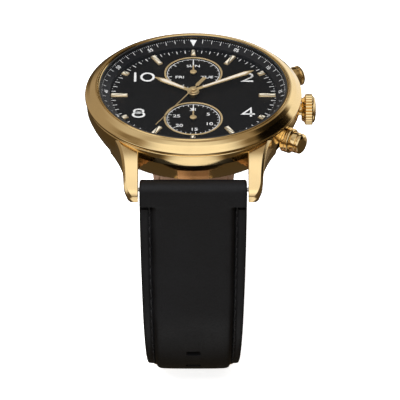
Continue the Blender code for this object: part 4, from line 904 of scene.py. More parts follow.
# ---- Case --------------------------------------------------------------------------------------------------
@dataclass
class Case:
    """The middle case, its lugs, the bezel, the crystal and the case back."""

    radius: float = 21.65
    foot_radius: float = 18.8
    waist_height: float = 6.5
    bezel_radius: float = 21.95
    bore_radius: float = 19.0
    lip: float = 0.35
    dome: float = 0.25
    lug_inner: float = 11.0
    lug_tip_outer: float = 13.9
    lug_root: float = 11.5
    segments: int = 320

    def build(self) -> None:
        """Builds every piece of the case."""
        self.case_low, self.case_high = node_box("mid_case")
        self.bezel_low, self.bezel_high = node_box("bezel")
        self.middle()
        for right in (True, False):
            for upper in (True, False):
                self.lug(right, upper)
        self.bezel()
        self.crystal()
        self.back()

    def middle(self) -> None:
        """The round middle case, with a bright upper band and a flank that turns in below it."""
        top = self.bezel_low.z - 0.03
        bottom = 1.3
        inner = 16.1
        seat = 18.05
        profile = filleted([
            (inner, bottom + 0.5, 0), (inner, 8.55, 0), (seat, 8.55, 0), (seat, top, 0.02),
            (self.radius - 0.28, top, 0.05), (self.radius, top - 0.28, 0.12), (self.radius, 7.7, 0.9),
            (self.radius - 0.1, self.waist_height, 0.5), (self.radius - 0.75, 4.9, 1.2),
            (self.radius - 1.85, 2.9, 1.2), (self.foot_radius, bottom + 0.1, 0.15),
            (self.foot_radius - 0.3, bottom, 0.1), (16.95, bottom, 0), (16.95, bottom + 0.5, 0),
        ])
        bm = turned(profile, self.segments)
        holes = [
            moved(turned([(0, 15.0), (r, 15.0), (r, 26.0), (0, 26.0)], 64), axis_out(degrees, 5.7))
            for degrees, r in ((0.0, 1.3), (30.0, 2.65), (-30.0, 2.65))
        ]
        piece("mid_case_band", combined(bm, holes, "DIFFERENCE"), GOLD, Body.CASE, ["mid_case"], sharp=28)

    def lug_top(self, reach: float) -> float:
        """Height of the lug's top face.

        Args:
            reach: Distance from the hand axis.

        Returns:
            The height.
        """
        start, end = 14.5, 25.4
        share = min(1.0, max(0.0, (reach - start) / (end - start)))
        return 8.85 - 6.7 * share**2.15

    def lug_bottom(self, reach: float) -> float:
        """Height of the lug's underside.

        Args:
            reach: Distance from the hand axis.

        Returns:
            The height.
        """
        if reach < 18.5:
            return 1.55 + (18.5 - reach) * 0.12
        dip = math.sin(math.pi * min(1.0, (reach - 18.5) / 6.9) * 0.62)
        return 1.55 - 1.5 * dip

    def lug_flank(self, reach: float) -> float:
        """Distance from the middle plane to the lug's outer side.

        Args:
            reach: Distance from the hand axis.

        Returns:
            The distance.
        """
        share = min(1.0, max(0.0, (reach - self.lug_root) / (25.4 - self.lug_root)))
        root = 17.3
        curve = root + (self.lug_tip_outer - root) * (1 - (1 - share) ** 2.3)
        past = max(0.0, (reach - 23.4) / 2.0)
        return curve - 1.55 * (1 - math.sqrt(max(0.0, 1 - past * past)))

    def lug(self, right: bool, upper: bool) -> None:
        """One lug, swept from inside the case to its rounded tip.

        Args:
            right: Whether it is on the crown's side.
            upper: Whether it is at 12 o'clock.
        """
        sign_x, sign_y = (1 if right else -1), (1 if upper else -1)
        rings = []
        count = 56
        for k in range(count + 1):
            share = k / count
            reach = self.lug_root + (25.4 - self.lug_root) * math.sin(share * math.pi / 2) ** 0.92
            top, bottom, flank = self.lug_top(reach), self.lug_bottom(reach), self.lug_flank(reach)
            end = max(0.0, (reach - 24.6) / 0.8)
            squeeze = 0.42 * (1 - math.sqrt(max(0.0, 1 - end * end)))
            top, bottom = top - squeeze, bottom + squeeze
            corners = [
                (self.lug_inner, bottom, 0.25), (self.lug_inner, top, 0.16), (flank - 0.5, top - 0.04, 0.14),
                (flank, top - 0.62, 0.3), (flank - 0.12, (top + bottom) / 2, 0.6),
                (flank - 0.75, bottom, 0.5),
            ]
            outline = filleted(corners, True, 5)
            rings.append([Vector((sign_x * x, sign_y * reach, z)) for x, z in outline])
        side = "right" if right else "left"
        hour = "12" if upper else "6"
        bore = moved(
            turned([(0, -12.4), (0.5, -12.4), (0.5, 12.4), (0, 12.4)], 40), across(sign_y * 23.2, 2.0)
        )
        clear = turned([(0, -2.0), (17.2, -2.0), (17.2, 12.0), (0, 12.0)], 128)
        cutters = [bore, clear]
        if right:
            angle = 30.0 if upper else -30.0
            pocket = turned([(0, 20.0), (2.65, 20.0), (2.65, 29.0), (0, 29.0)], 64)
            cutters.append(moved(pocket, axis_out(angle, 5.7)))
        bm = combined(loft(rings), cutters, "DIFFERENCE")
        piece(f"lug_{side}_{hour}", bm, SATIN_GOLD, Body.CASE, sharp=30)

    def bezel(self) -> None:
        """The polished bezel: a thin lip, a groove, a broad crowned slope and a steep rim."""
        bottom, top = self.bezel_low.z, self.bezel_high.z
        lip = self.bore_radius + self.lip
        profile = filleted([
            (self.bore_radius, bottom, 0), (self.bezel_radius - 0.25, bottom, 0.06),
            (self.bezel_radius, bottom + 0.3, 0.12), (self.bezel_radius - 0.04, bottom + 0.62, 0.2),
            (21.5, top - 1.42, 0.5), (20.85, top - 0.75, 1.6), (19.95, top - 0.22, 0.8),
            (lip + 0.16, top - 0.1, 0.06), (lip + 0.08, top - 0.2, 0.03), (lip, top - 0.04, 0.05),
            (self.bore_radius + 0.12, top, 0.06), (self.bore_radius, top - 0.12, 0.05),
        ], True, 8)
        piece("bezel_ring", turned(profile, self.segments), GOLD, Body.CASE, ["bezel"], sharp=40)

    def crystal(self) -> None:
        """The domed crystal with a polished bevel, and its gasket."""
        low, high = node_box("crystal")
        radius = high.x
        edge = high.z - self.dome
        dome = [
            (radius * math.cos(t), edge + 0.02 + (self.dome - 0.02) * math.sin(t))
            for t in (math.pi / 2 * (0.16 + 0.84 * k / 14) for k in range(15))
        ]
        profile = [
            (0, low.z), (radius - 0.05, low.z), (radius, low.z + 0.05), (radius, edge - 0.12), *dome[:-1]
        ]
        profile.append((0, high.z))
        piece("domed_crystal", turned(profile, 192), CRYSTAL, Body.CASE, ["crystal"], sharp=40)
        low, high = node_box("crystal_gasket")
        inner = radius + 0.05
        ring = filleted(
            [(inner, low.z, 0), (high.x, low.z, 0), (high.x, high.z, 0.08), (inner, high.z, 0.08)], True, 3
        )
        piece("crystal_gasket_ring", turned(ring, 192), RUBBER, Body.CASE, ["crystal_gasket"], sharp=40)

    def back(self) -> None:
        """The pressed-on case back, turned, with two engraved rings and a lip to prise it off by."""
        high = node_box("case_back")[1]
        radius = high.x
        wall = 16.05
        profile = filleted([
            (0, 0, 0), (11.7, 0, 0), (11.8, 0.12, 0.02), (12.0, 0.12, 0.02), (12.1, 0, 0), (14.4, 0, 0),
            (14.5, 0.1, 0.02), (14.65, 0.1, 0.02), (14.75, 0, 0), (radius - 0.65, 0, 0.25),
            (radius, 0.6, 0.25), (radius, 1.27, 0.06), (wall, 1.27, 0), (wall, high.z, 0.1),
            (wall - 0.7, high.z, 0.1), (wall - 0.7, 0.97, 0), (0, 0.97, 0),
        ], False, 4)
        lip = plate(
            filleted([(-1.6, 15.8, 0.2), (1.6, 15.8, 0.2), (1.1, 17.5, 0.4), (-1.1, 17.5, 0.4)]), 0.75, 1.2,
            0.08
        )
        bm = combined(turned(profile, 192), [moved(lip, clock_turn(135.0))], "UNION")
        piece("pressed_back", bm, BACK_STEEL, Body.CASE, ["case_back"], sharp=30)


# ---- Dial --------------------------------------------------------------------------------------------------
class Printer:
    """Collects white printing as thin solids that lie on a surface."""

    def __init__(self, height: Callable[[float, float], float], thickness: float = 0.014) -> None:
        """Keeps the surface.

        Args:
            height: The surface's height at a point.
            thickness: How thick the ink is.
        """
        self.height = height
        self.thickness = thickness
        self.bm = bmesh.new()

    def shape(self, outline: Sequence[Flat], matrix: Matrix | None = None) -> None:
        """Prints a filled outline with a few points.

        Args:
            outline: Its corners.
            matrix: Turns and moves it first.
        """
        matrix = matrix or Matrix()
        rows = []
        for lift in (0.002, self.thickness):
            row = []
            for x, y in outline:
                p = matrix @ Vector((x, y, 0))
                row.append(self.bm.verts.new((p.x, p.y, self.height(p.x, p.y) + lift)))
            rows.append(row)
        count = len(outline)
        for i in range(count):
            after = (i + 1) % count
            self.bm.faces.new((rows[0][i], rows[0][after], rows[1][after], rows[1][i]))
        self.bm.faces.new(list(reversed(rows[0])))
        self.bm.faces.new(rows[1])

    def tick(
        self, inner: float, outer: float, degrees: float, width: float, centre: Flat = (0.0, 0.0)
    ) -> None:
        """Prints a radial tick.

        Args:
            inner: Its inner radius.
            outer: Its outer radius.
            degrees: Its clock angle.
            width: How wide it is.
            centre: The centre of the dial that it belongs to.
        """
        half = width / 2
        self.shape(
            [(-half, inner), (half, inner), (half, outer), (-half, outer)], clock_turn(degrees, centre)
        )

    def stroke(self, points: Sequence[Flat], width: float, closed: bool = False) -> None:
        """Prints a line of even width.

        Args:
            points: The line's middle.
            width: How wide it is.
            closed: Whether it joins up.
        """
        count = len(points)
        sides = []
        for i, p in enumerate(points):
            before = points[i - 1] if (i or closed) else p
            after = points[(i + 1) % count] if (i < count - 1 or closed) else p
            ways = [Vector(p) - Vector(before), Vector(after) - Vector(p)]
            normals = [Vector((-w.y, w.x)).normalized() for w in ways if w.length > 1e-9]
            middle = sum(normals, Vector((0, 0))).normalized()
            reach = width / 2 / max(0.5, middle.dot(normals[0]))
            sides.append((Vector(p) + middle * reach, Vector(p) - middle * reach))
        bottom, top = [], []
        for left, right in sides:
            for row, lift in ((bottom, 0.002), (top, self.thickness)):
                row.append(
                    [self.bm.verts.new((q.x, q.y, self.height(q.x, q.y) + lift)) for q in (left, right)]
                )
        last = count if closed else count - 1
        for i in range(last):
            j = (i + 1) % count
            self.bm.faces.new((top[i][0], top[i][1], top[j][1], top[j][0]))
            self.bm.faces.new((bottom[i][1], bottom[i][0], bottom[j][0], bottom[j][1]))
            self.bm.faces.new((bottom[i][0], top[i][0], top[j][0], bottom[j][0]))
            self.bm.faces.new((top[i][1], bottom[i][1], bottom[j][1], top[j][1]))
        if not closed:
            for i, flip in ((0, False), (count - 1, True)):
                end = (bottom[i][0], bottom[i][1], top[i][1], top[i][0])
                self.bm.faces.new(end if not flip else tuple(reversed(end)))

    def text(self, words: str, size: float, place: Flat, degrees: float = 0.0, wide: float = 1.0) -> None:
        """Prints figures or letters.

        Args:
            words: What it says.
            size: The capitals' height.
            place: Where its middle is.
            degrees: How far it is turned, clockwise.
            wide: How much it is widened.
        """
        curve = bpy.data.curves.new("work_text", "FONT")
        curve.body = words
        curve.size = size / 0.72
        curve.align_x = "CENTER"
        curve.offset = size * 0.012
        curve.resolution_u = 4
        holder = bpy.data.objects.new("work_text", curve)
        bpy.context.scene.collection.objects.link(holder)
        graph = bpy.context.evaluated_depsgraph_get()
        mesh = bpy.data.meshes.new_from_object(holder.evaluated_get(graph))
        flat = bmesh.new()
        flat.from_mesh(mesh)
        matrix = clock_turn(degrees, place) @ Matrix.Diagonal((wide, 1, 1, 1)) @ Matrix.Translation(
            (0, -size / 2, 0)
        )
        flat.transform(matrix)
        bmesh.ops.remove_doubles(flat, verts=flat.verts, dist=1e-4)
        made = bmesh.ops.extrude_face_region(flat, geom=flat.faces[:])
        upper = {v for v in made["geom"] if isinstance(v, bmesh.types.BMVert)}
        for vert in flat.verts:
            lift = self.thickness if vert in upper else 0.002
            vert.co.z = self.height(vert.co.x, vert.co.y) + lift
        result = bpy.data.meshes.new("work_ink")
        flat.to_mesh(result)
        flat.free()
        self.bm.from_mesh(result)
        for data in (mesh, result):
            bpy.data.meshes.remove(data)
        bpy.data.objects.remove(holder)
        bpy.data.curves.remove(curve)

    def finish(self, name: str) -> bpy.types.Object:
        """Makes the printing a piece of the case."""
        return piece(name, self.bm, INK, Body.CASE, sharp=30, merge=0)


def arc(
    centre: Flat, across_radius: float, up_radius: float, start: float, end: float, steps: int = 20
) -> list[Flat]:
    """Points of an ellipse's arc, anticlockwise from +X, in degrees."""
    turns = [math.radians(start + (end - start) * k / steps) for k in range(steps + 1)]
    return [(centre[0] + across_radius * math.cos(t), centre[1] + up_radius * math.sin(t)) for t in turns]


@dataclass
class Dial:
    """The dial with its printing, its two sub-dials, the markers and the chapter ring."""

    radius: float = 18.0
    sub_reach: float = 8.3
    sub_radius: float = 5.55
    sub_depth: float = 0.15
    ring_width: float = 0.38
    figure_height: float = 3.3
    figure_stroke: float = 0.46
    marker_outer: float = 16.65
    marker_width: float = 1.0
    marker_height: float = 0.34

    def build(self) -> None:
        """Builds the dial and all that is on it."""
        low, high = node_box("dial")
        self.bottom, self.top = low.z, high.z
        self.plate()
        self.chapter_ring()
        self.printing()
        self.figures()
        self.sub_dial(True)
        self.sub_dial(False)
        for hour in range(1, 13):
            self.marker(hour)

    def flat(self, _x: float, _y: float) -> float:
        """Height of the dial's face."""
        return self.top

    def plate(self) -> None:
        """The dial plate with both sub-dials sunk into it."""
        bore = 0.88
        profile = [(bore, self.bottom), (self.radius, self.bottom), (self.radius, self.top), (bore, self.top)]
        cutters = []
        for sign in (1, -1):
            floor = self.top - self.sub_depth
            step = [
                (0, 8.0), (0.32, 8.0), (0.32, floor), (self.sub_radius, floor), (self.sub_radius + 0.02, 9.3),
                (0, 9.3)
            ]
            cutters.append(moved(turned(step, 160), Matrix.Translation((0, sign * self.sub_reach, 0))))
        bm = combined(turned(profile, 192), cutters, "DIFFERENCE")
        piece("dial_plate", bm, DIAL_BLACK, Body.CASE, ["dial"], sharp=20)

    def chapter_ring(self) -> None:
        """The black sloping ring with its minute track."""
        low, high = node_box("chapter_ring")
        inner, outer = 16.9, high.x
        base, rise = low.z, 0.8
        profile = filleted([
            (inner, base, 0), (outer, base, 0), (outer, high.z, 0), (outer - 0.12, high.z, 0.03),
            (inner + 0.06, self.top + rise + 0.03, 0.06), (inner, self.top + rise - 0.06, 0.04),
        ], True, 4)
        piece("chapter_slope", turned(profile, 256), RING_BLACK, Body.CASE, ["chapter_ring"], sharp=25)
        slope = (high.z - (self.top + rise + 0.03)) / (outer - 0.12 - inner - 0.06)

        def height(x: float, y: float) -> float:
            """The slope's height at a point."""
            return self.top + rise + 0.03 + slope * (math.hypot(x, y) - inner - 0.06)

        ink = Printer(height)
        for minute in range(60):
            angle = minute * 6.0
            if minute == 0:
                continue
            if minute % 5 == 0:
                ink.tick(18.25, 18.6, angle, 0.11)
                ink.text(
                    f"{minute:02d}", 0.72,
                    (17.62 * math.sin(math.radians(angle)), 17.62 * math.cos(math.radians(angle))), angle,
                    1.15
                )
            else:
                ink.tick(17.75, 18.6, angle, 0.1)
            for quarter in (1, 2, 3):
                ink.tick(18.42, 18.58, angle + quarter * 1.5, 0.08)
        ink.shape([(-0.72, 18.5), (0.0, 17.05), (0.72, 18.5)])
        ink.finish("chapter_print")

    def printing(self) -> None:
        """The minute track round the dial."""
        ink = Printer(self.flat)
        for minute in range(60):
            angle = minute * 6.0
            if minute % 5:
                ink.tick(15.75, 16.7, angle, 0.15)
            ink.tick(16.45, 16.7, angle + 3.0, 0.1)
        ink.finish("minute_track")

    def figures(self) -> None:
        """The large figures 10, 8, 2 and 4, in even strokes."""
        ink = Printer(self.flat)
        h, w = self.figure_height, self.figure_stroke
        half = h / 2 - w / 2

        x, y = -10.05, 6.9
        left = x - 1.78
        ink.shape([
            (left - w / 2, y - h / 2), (left + w / 2, y - h / 2), (left + w / 2, y + h / 2),
            (left - w / 2, y + h / 2)
        ])
        ink.stroke(arc((x + 0.72, y), 1.25, half, 0, 360, 48)[:-1], w, True)

        x, y = -11.0, -6.3
        low, high = 0.86, 0.70
        ink.stroke(arc((x, y - h / 2 + w / 2 + low), 1.12, low, 0, 360, 40)[:-1], w, True)
        ink.stroke(arc((x, y + h / 2 - w / 2 - high), 0.92, high, 0, 360, 40)[:-1], w * 0.92, True)

        x, y = 11.0, 6.8
        bowl = arc((x, y + half - 0.86), 0.98, 0.86, 165, -38, 22)
        ink.stroke([*bowl, (x - 0.98, y - half), (x + 1.15, y - half)], w)

        x, y = 11.05, -5.9
        ink.stroke(
            [(x + 0.55, y - h / 2), (x + 0.55, y + half), (x - 1.15, y - 0.72), (x + 1.35, y - 0.72)],
            w * 0.95
        )
        ink.finish("large_figures")

    def sub_dial(self, upper: bool) -> None:
        """One sub-dial's ring and printing.

        Args:
            upper: Whether it is the weekday dial, and not the date dial.
        """
        centre = (0.0, self.sub_reach if upper else -self.sub_reach)
        floor = self.top - self.sub_depth
        name = "day" if upper else "date"
        inner, outer = self.sub_radius, self.sub_radius + self.ring_width
        base = self.top + 0.03
        ring = filleted([
            (inner, base, 0), (outer, base, 0), (outer, base + 0.05, 0.02),
            ((inner + outer) / 2, base + 0.13, 0.06), (inner, base + 0.05, 0.02),
        ], True, 4)
        node = "upper_subdial_ring" if upper else "lower_subdial_ring"
        piece(
            f"{name}_ring", moved(turned(ring, 160), Matrix.Translation((*centre, 0))), HAND_GOLD, Body.CASE,
            [node]
        )

        ink = Printer(lambda _x, _y: floor)
        ink.stroke(circle(5.3, 120, centre), 0.11, True)
        if upper:
            for day in range(7):
                ink.tick(4.45, 5.2, day * 360 / 7, 0.15, centre)
                for part in (1, 2, 3):
                    ink.tick(4.95, 5.2, (day + part / 4) * 360 / 7, 0.12, centre)
            for words, degrees, reach in (
                ("SUN", 0.0, 2.95), ("TUE", 720 / 7, 2.85), ("FRI", 1800 / 7, 2.85)
            ):
                place = self.beside(centre, degrees, reach)
                ink.text(words, 0.86, (place[0], place[1] - (0.55 if degrees else 0.0)), 0.0, 1.2)
        else:
            for date in range(31):
                long = date % 5 == 0
                ink.tick(4.6 if long else 4.85, 5.2, date * 360 / 31, 0.12, centre)
            for words, date in (("31", 0), ("5", 5), ("10", 10), ("15", 15), ("20", 20), ("25", 25)):
                ink.text(
                    words, 1.0, self.beside(centre, date * 360 / 31 + (3.0 if date == 15 else 0.0), 3.55),
                    0.0, 1.12
                )
        ink.finish(f"{name}_print")

    @staticmethod
    def beside(centre: Flat, degrees: float, reach: float) -> Flat:
        """The point at a clock angle and a distance from a centre."""
        angle = math.radians(degrees)
        return centre[0] + reach * math.sin(angle), centre[1] + reach * math.cos(angle)

    def marker(self, hour: int) -> None:
        """One applied hour marker: a gold frame with cream paint set into it.

        Args:
            hour: Which hour it marks.
        """
        low, _ = node_box(f"hour_marker_{hour:02d}")
        outer, half = self.marker_outer, self.marker_width / 2
        length, inner_half = 3.4, half
        if hour in (6, 12):
            length, half, inner_half = 1.9, 0.36, 0.5
        elif hour in (2, 4, 8, 10):
            length, half, inner_half = 1.4, 0.55, 0.5
        outline = filleted([
            (-inner_half, outer - length, 0.05), (inner_half, outer - length, 0.05), (half, outer, 0.05),
            (-half, outer, 0.05),
        ], True, 2)
        turn = clock_turn(hour * 30)
        base, top = low.z, low.z + self.marker_height
        frame_plate = moved(plate(outline, base, top - 0.05, 0.12), turn)
        piece(
            f"marker_{hour:02d}", frame_plate, MARKER_GOLD, Body.CASE, [f"hour_marker_{hour:02d}"], sharp=25
        )
        paint = moved(plate(inset(outline, 0.15), top - 0.052, top, 0.03), turn)
        piece(f"marker_paint_{hour:02d}", paint, MARKER_LUME, Body.CASE, sharp=25)


# ---- Hands -------------------------------------------------------------------------------------------------
@dataclass
class Hand:
    """One centre hand: a gold frame that widens to a pointed tip, with paint set into it."""

    name: str
    body: Body
    degrees: float
    length: float
    hub: float
    bore: float
    root_width: float
    wide_width: float
    paint_from: float = 0.0
    paint_to: float = 0.0
    border: float = 0.2

    def outline(self) -> list[Flat]:
        """The hand's edge, towards +Y.

        Returns:
            Its points.
        """
        angle = math.asin(self.root_width / 2 / self.hub)
        sweep = 2 * math.pi - 2 * angle
        count = 36
        points = [
            (self.hub * math.sin(angle + sweep * k / count), self.hub * math.cos(angle + sweep * k / count))
            for k in range(count + 1)
        ]
        shoulder = self.length - self.wide_width * 1.45
        half = self.wide_width / 2
        return points + [(-half, shoulder), (-0.06, self.length), (0.06, self.length), (half, shoulder)]

    def build(self) -> None:
        """Builds the frame and the paint."""
        low, high = node_box(f"{self.name}_hand")
        turn = clock_turn(self.degrees)
        bm = moved(plate(self.outline(), low.z, high.z, 0.07, circle(self.bore, 32)), turn)
        piece(f"{self.name}_hand_frame", bm, HAND_GOLD, self.body, [f"{self.name}_hand"], sharp=20)
        if self.paint_to:
            share = (self.paint_from - self.hub) / (self.length - self.hub)
            near = (self.root_width + (self.wide_width - self.root_width) * share) / 2 - self.border
            far = self.wide_width / 2 - self.border
            tip = self.paint_to
            shape = filleted([
                (-near, self.paint_from, 0.03), (-far, tip - self.wide_width, 0.1), (0.0, tip, 0.03),
                (far, tip - self.wide_width, 0.1), (near, self.paint_from, 0.03),
            ], True, 3)
            paint = moved(plate(shape, high.z - 0.02, high.z + 0.03, 0.02), turn)
            piece(f"{self.name}_hand_paint", paint, LUME, self.body, sharp=20)


@dataclass
class Hands:
    """All five hands, set to the time that the model shows."""

    hour_angle: float = 304.5
    minute_angle: float = 59.5
    seconds_angle: float = 210.0
    seconds_length: float = 15.0
    tail: float = 4.7
    sub_length: float = 4.5
    sub_reach: float = 8.3

    def build(self) -> None:
        """Builds every hand."""
        Hand("hour", Body.HOUR, self.hour_angle, 9.4, 1.2, 0.81, 0.72, 1.3, 2.3, 8.4).build()
        Hand("minute", Body.MINUTE, self.minute_angle, 14.2, 1.1, 0.53, 0.7, 1.2, 2.3, 13.2).build()
        self.seconds()
        self.small("day", Body.DAY, self.sub_reach)
        self.small("date", Body.DATE, -self.sub_reach)

    def seconds(self) -> None:
        """The needle with its bar counterweight and a domed hub."""
        low, high = node_box("seconds_hand")
        needle = filleted([
            (-0.12, 0.5, 0), (-0.07, self.seconds_length, 0.05), (0.07, self.seconds_length, 0.05),
            (0.12, 0.5, 0), (0.12, -1.3, 0.05), (0.4, -1.5, 0.1), (0.4, -self.tail, 0.12),
            (-0.4, -self.tail, 0.12), (-0.4, -1.5, 0.1), (-0.12, -1.3, 0.05),
        ], True, 3)
        hub = turned(filleted([
            (0, low.z, 0), (0.62, low.z, 0), (0.62, high.z, 0.05), (0.4, high.z + 0.12, 0.08),
            (0, high.z + 0.12, 0),
        ], False, 4), 48)
        body = combined(plate(needle, low.z + 0.04, high.z, 0.05), [hub], "UNION")
        turn = clock_turn(self.seconds_angle)
        piece("seconds_needle", moved(body, turn), HAND_GOLD, Body.SECONDS, ["seconds_hand"], sharp=25)

    def small(self, name: str, body: Body, reach: float) -> None:
        """A sub-dial hand: gold near its hub and white beyond.

        Args:
            name: The model's name for it.
            body: What it rides on.
            reach: How far up the dial its arbor is.
        """
        low, high = node_box(f"{name}_hand")
        place = Matrix.Translation((0, reach, 0))
        middle = self.sub_length * 0.5
        root = plate([(-0.17, 0.4), (0.17, 0.4), (0.14, middle), (-0.14, middle)], low.z, high.z, 0.03)
        hub = turned(filleted([
            (0, low.z, 0), (0.68, low.z, 0.02), (0.68, high.z - 0.03, 0.05), (0.42, high.z + 0.1, 0.1),
            (0, high.z + 0.1, 0),
        ], False, 4), 48)
        bm = moved(combined(root, [hub], "UNION"), place)
        piece(f"{name}_hand_hub", bm, HAND_GOLD, body, [f"{name}_hand"], sharp=25)
        tip = plate(
            [(-0.14, middle), (0.14, middle), (0.09, self.sub_length), (-0.09, self.sub_length)], low.z,
            high.z, 0.03
        )
        piece(f"{name}_hand_tip", moved(tip, place), INK, body, sharp=25)


# ---- Crown and pushers -------------------------------------------------------------------------------------
@dataclass
class Controls:
    """The crown and the two pushers."""

    height: float = 5.7
    pusher_angle: float = 30.0
    flutes: int = 28
    spring_start: float = 22.09
    spring_end: float = 24.41
    spring_radius: float = 1.28
    spring_wire: float = 0.15
    spring_turns: int = 4

    def build(self) -> None:
        """Builds the crown, both pushers and their springs."""
        self.crown()
        self.pusher("upper", Body.UPPER_PUSHER, self.pusher_angle)
        self.pusher("lower", Body.LOWER_PUSHER, -self.pusher_angle)
        self.spring("upper", self.pusher_angle)
        self.spring("lower", -self.pusher_angle)

    def crown(self) -> None:
        """The fluted crown with a smooth collar towards the case and a domed face."""
        low, high = node_box("crown")
        base, face, radius = low.x, high.x, high.y
        profile = filleted([
            (0.76, face - 1.25, 0), (0.76, base + 1.2, 0), (1.55, base + 1.2, 0), (1.55, base, 0.05),
            (radius - 0.95, base, 0.15), (radius - 0.55, base + 0.55, 0.2),
            (radius - 0.1, base + 0.75, 0.08), (radius, base + 0.85, 0.1), (radius, face - 0.85, 0.12),
            (radius - 0.12, face - 0.7, 0.08), (radius - 0.5, face - 0.62, 0.05),
            (radius - 0.52, face - 0.42, 0.08), (radius - 1.0, face - 0.16, 0.5), (1.1, face, 0.8),
            (0, face, 0), (0, face - 1.25, 0),
        ], False, 6)
        bm = turned(profile, self.flutes * 12, self.flutes, 0.3, (base + 0.72, face - 0.69))
        piece("fluted_crown", moved(bm, axis_out(0, self.height)), GOLD, Body.CROWN, ["crown"], sharp=38)

    def pusher(self, name: str, body: Body, degrees: float) -> None:
        """One pusher: its collar in the case and the grooved, domed button.

        Args:
            name: Upper or lower.
            body: What the button rides on.
            degrees: How far round from the crown it is.
        """
        matrix = axis_out(degrees, self.height)
        collar = filleted([
            (0.82, 16.2, 0), (1.25, 16.2, 0), (1.25, 21.4, 0), (2.55, 21.4, 0.05), (2.55, 22.25, 0.06),
            (2.43, 22.33, 0.03), (2.43, 22.48, 0.03), (2.55, 22.56, 0.06), (2.55, 22.92, 0.12),
            (2.35, 23.1, 0.1), (2.18, 23.1, 0.04), (2.18, 21.9, 0), (0.82, 21.9, 0),
        ], True, 4)
        piece(
            f"{name}_collar", moved(turned(collar, 96), matrix), GOLD, Body.CASE, [f"{name}_pusher_collar"],
            sharp=38
        )
        button = filleted([
            (0, 15.5, 0), (0.4, 15.5, 0), (0.4, 15.9, 0), (0.7, 15.9, 0), (0.7, 24.6, 0), (1.7, 24.6, 0),
            (1.7, 22.75, 0), (2.1, 22.75, 0.05), (2.1, 24.3, 0.1), (1.9, 24.42, 0.04), (1.9, 24.6, 0.04),
            (2.08, 24.72, 0.1), (2.05, 25.15, 0.15), (1.62, 25.48, 0.3), (0.9, 25.6, 0.8), (0, 25.6, 0),
        ], False, 5)
        piece(
            f"{name}_button", moved(turned(button, 96), matrix), GOLD, body, [f"{name}_pusher_button"],
            sharp=38
        )

    def spring(self, name: str, degrees: float) -> None:
        """One pusher's return spring.

        Args:
            name: Upper or lower.
            degrees: How far round from the crown it is.
        """
        low, high = self.spring_start, self.spring_end
        steps = self.spring_turns * 24
        rings = []
        for i in range(steps + 1):
            turn = math.tau * i / 24
            out = Vector((math.cos(turn), math.sin(turn), 0.0))
            centre = out * self.spring_radius + Vector((0, 0, low + (high - low) * i / steps))
            around = [math.tau * k / 10 for k in range(10)]
            rings.append([
                centre + (out * math.cos(a) + Vector((0, 0, math.sin(a)))) * self.spring_wire for a in around
            ])
        matrix = axis_out(degrees, self.height)
        wire = moved(loft(rings), matrix)
        coil = piece(f"{name}_return_spring", wire, STEEL, Body.CASE, [f"{name}_pusher_spring"], sharp=60)
        press = joint(f"{name}_pusher_press")
        length = high - low + 2 * self.spring_wire
        travel = press["range_m"][1] / MM
        [-x for x in press["axis"]]
        (length - travel) / length
        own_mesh(coil)


# ---- Strap -------------------------------------------------------------------------------------------------
class Path:
    """A line in the YZ plane made of straights and arcs, measured along its length."""

    def __init__(self, y: float, z: float, heading: float) -> None:
        """Starts the line.

        Args:
            y: Where it starts.
            z: Where it starts.
            heading: Which way it goes, from +Y towards +Z, in radians.
        """
        self.parts: list[tuple[float, float, float | None, float, float, float]] = []
        self.start = (y, z, heading)
        self.length = 0.0

    def add(self, length: float, radius: float | None = None) -> "Path":
        """Adds a straight, or an arc that turns left with that radius.

        Args:
            length: How long it is.
            radius: The arc's radius.

        Returns:
            The path itself.
        """
        y, z, heading = self.at(self.length)
        self.parts.append((self.length, length, radius, y, z, heading))
        self.length += length
        return self

    def at(self, s: float) -> tuple[float, float, float]:
        """Place and heading at a distance along the path. Past its ends it runs on straight.

        Args:
            s: The distance.

        Returns:
            y, z and the heading.
        """
        if not self.parts:
            return self.start
        begin, length, radius, y, z, heading = self.parts[0]
        for part in self.parts:
            if s >= part[0]:
                begin, length, radius, y, z, heading = part
        run = s - begin
        past = max(0.0, run - length) if radius else 0.0
        run -= past
        if radius and run > 0:
            turned_to = heading + run / radius
            y += radius * (math.sin(turned_to) - math.sin(heading))
            z -= radius * (math.cos(turned_to) - math.cos(heading))
            heading, run = turned_to, past
        return y + run * math.cos(heading), z + run * math.sin(heading), heading

    def point(self, s: float, x: float, out: float) -> Vector:
        """The point at distance s, x across the strap and out from its middle, away from the wrist."""
        y, z, heading = self.at(s)
        return Vector((x, y + out * math.sin(heading), z - out * math.cos(heading)))

    def frame(self, s: float, out: float = 0.0) -> Matrix:
        """The matrix that carries (across, along, out) to the path.

        Args:
            s: Distance along the path.
            out: How far out from the path the origin goes.

        Returns:
            The matrix.
        """
        heading = self.at(s)[2]
        matrix = Matrix((
            (1, 0, 0, 0), (0, math.cos(heading), math.sin(heading), 0),
            (0, math.sin(heading), -math.cos(heading), 0), (0, 0, 0, 1),
        ))
        return Matrix.Translation(self.point(s, 0.0, out)) @ matrix


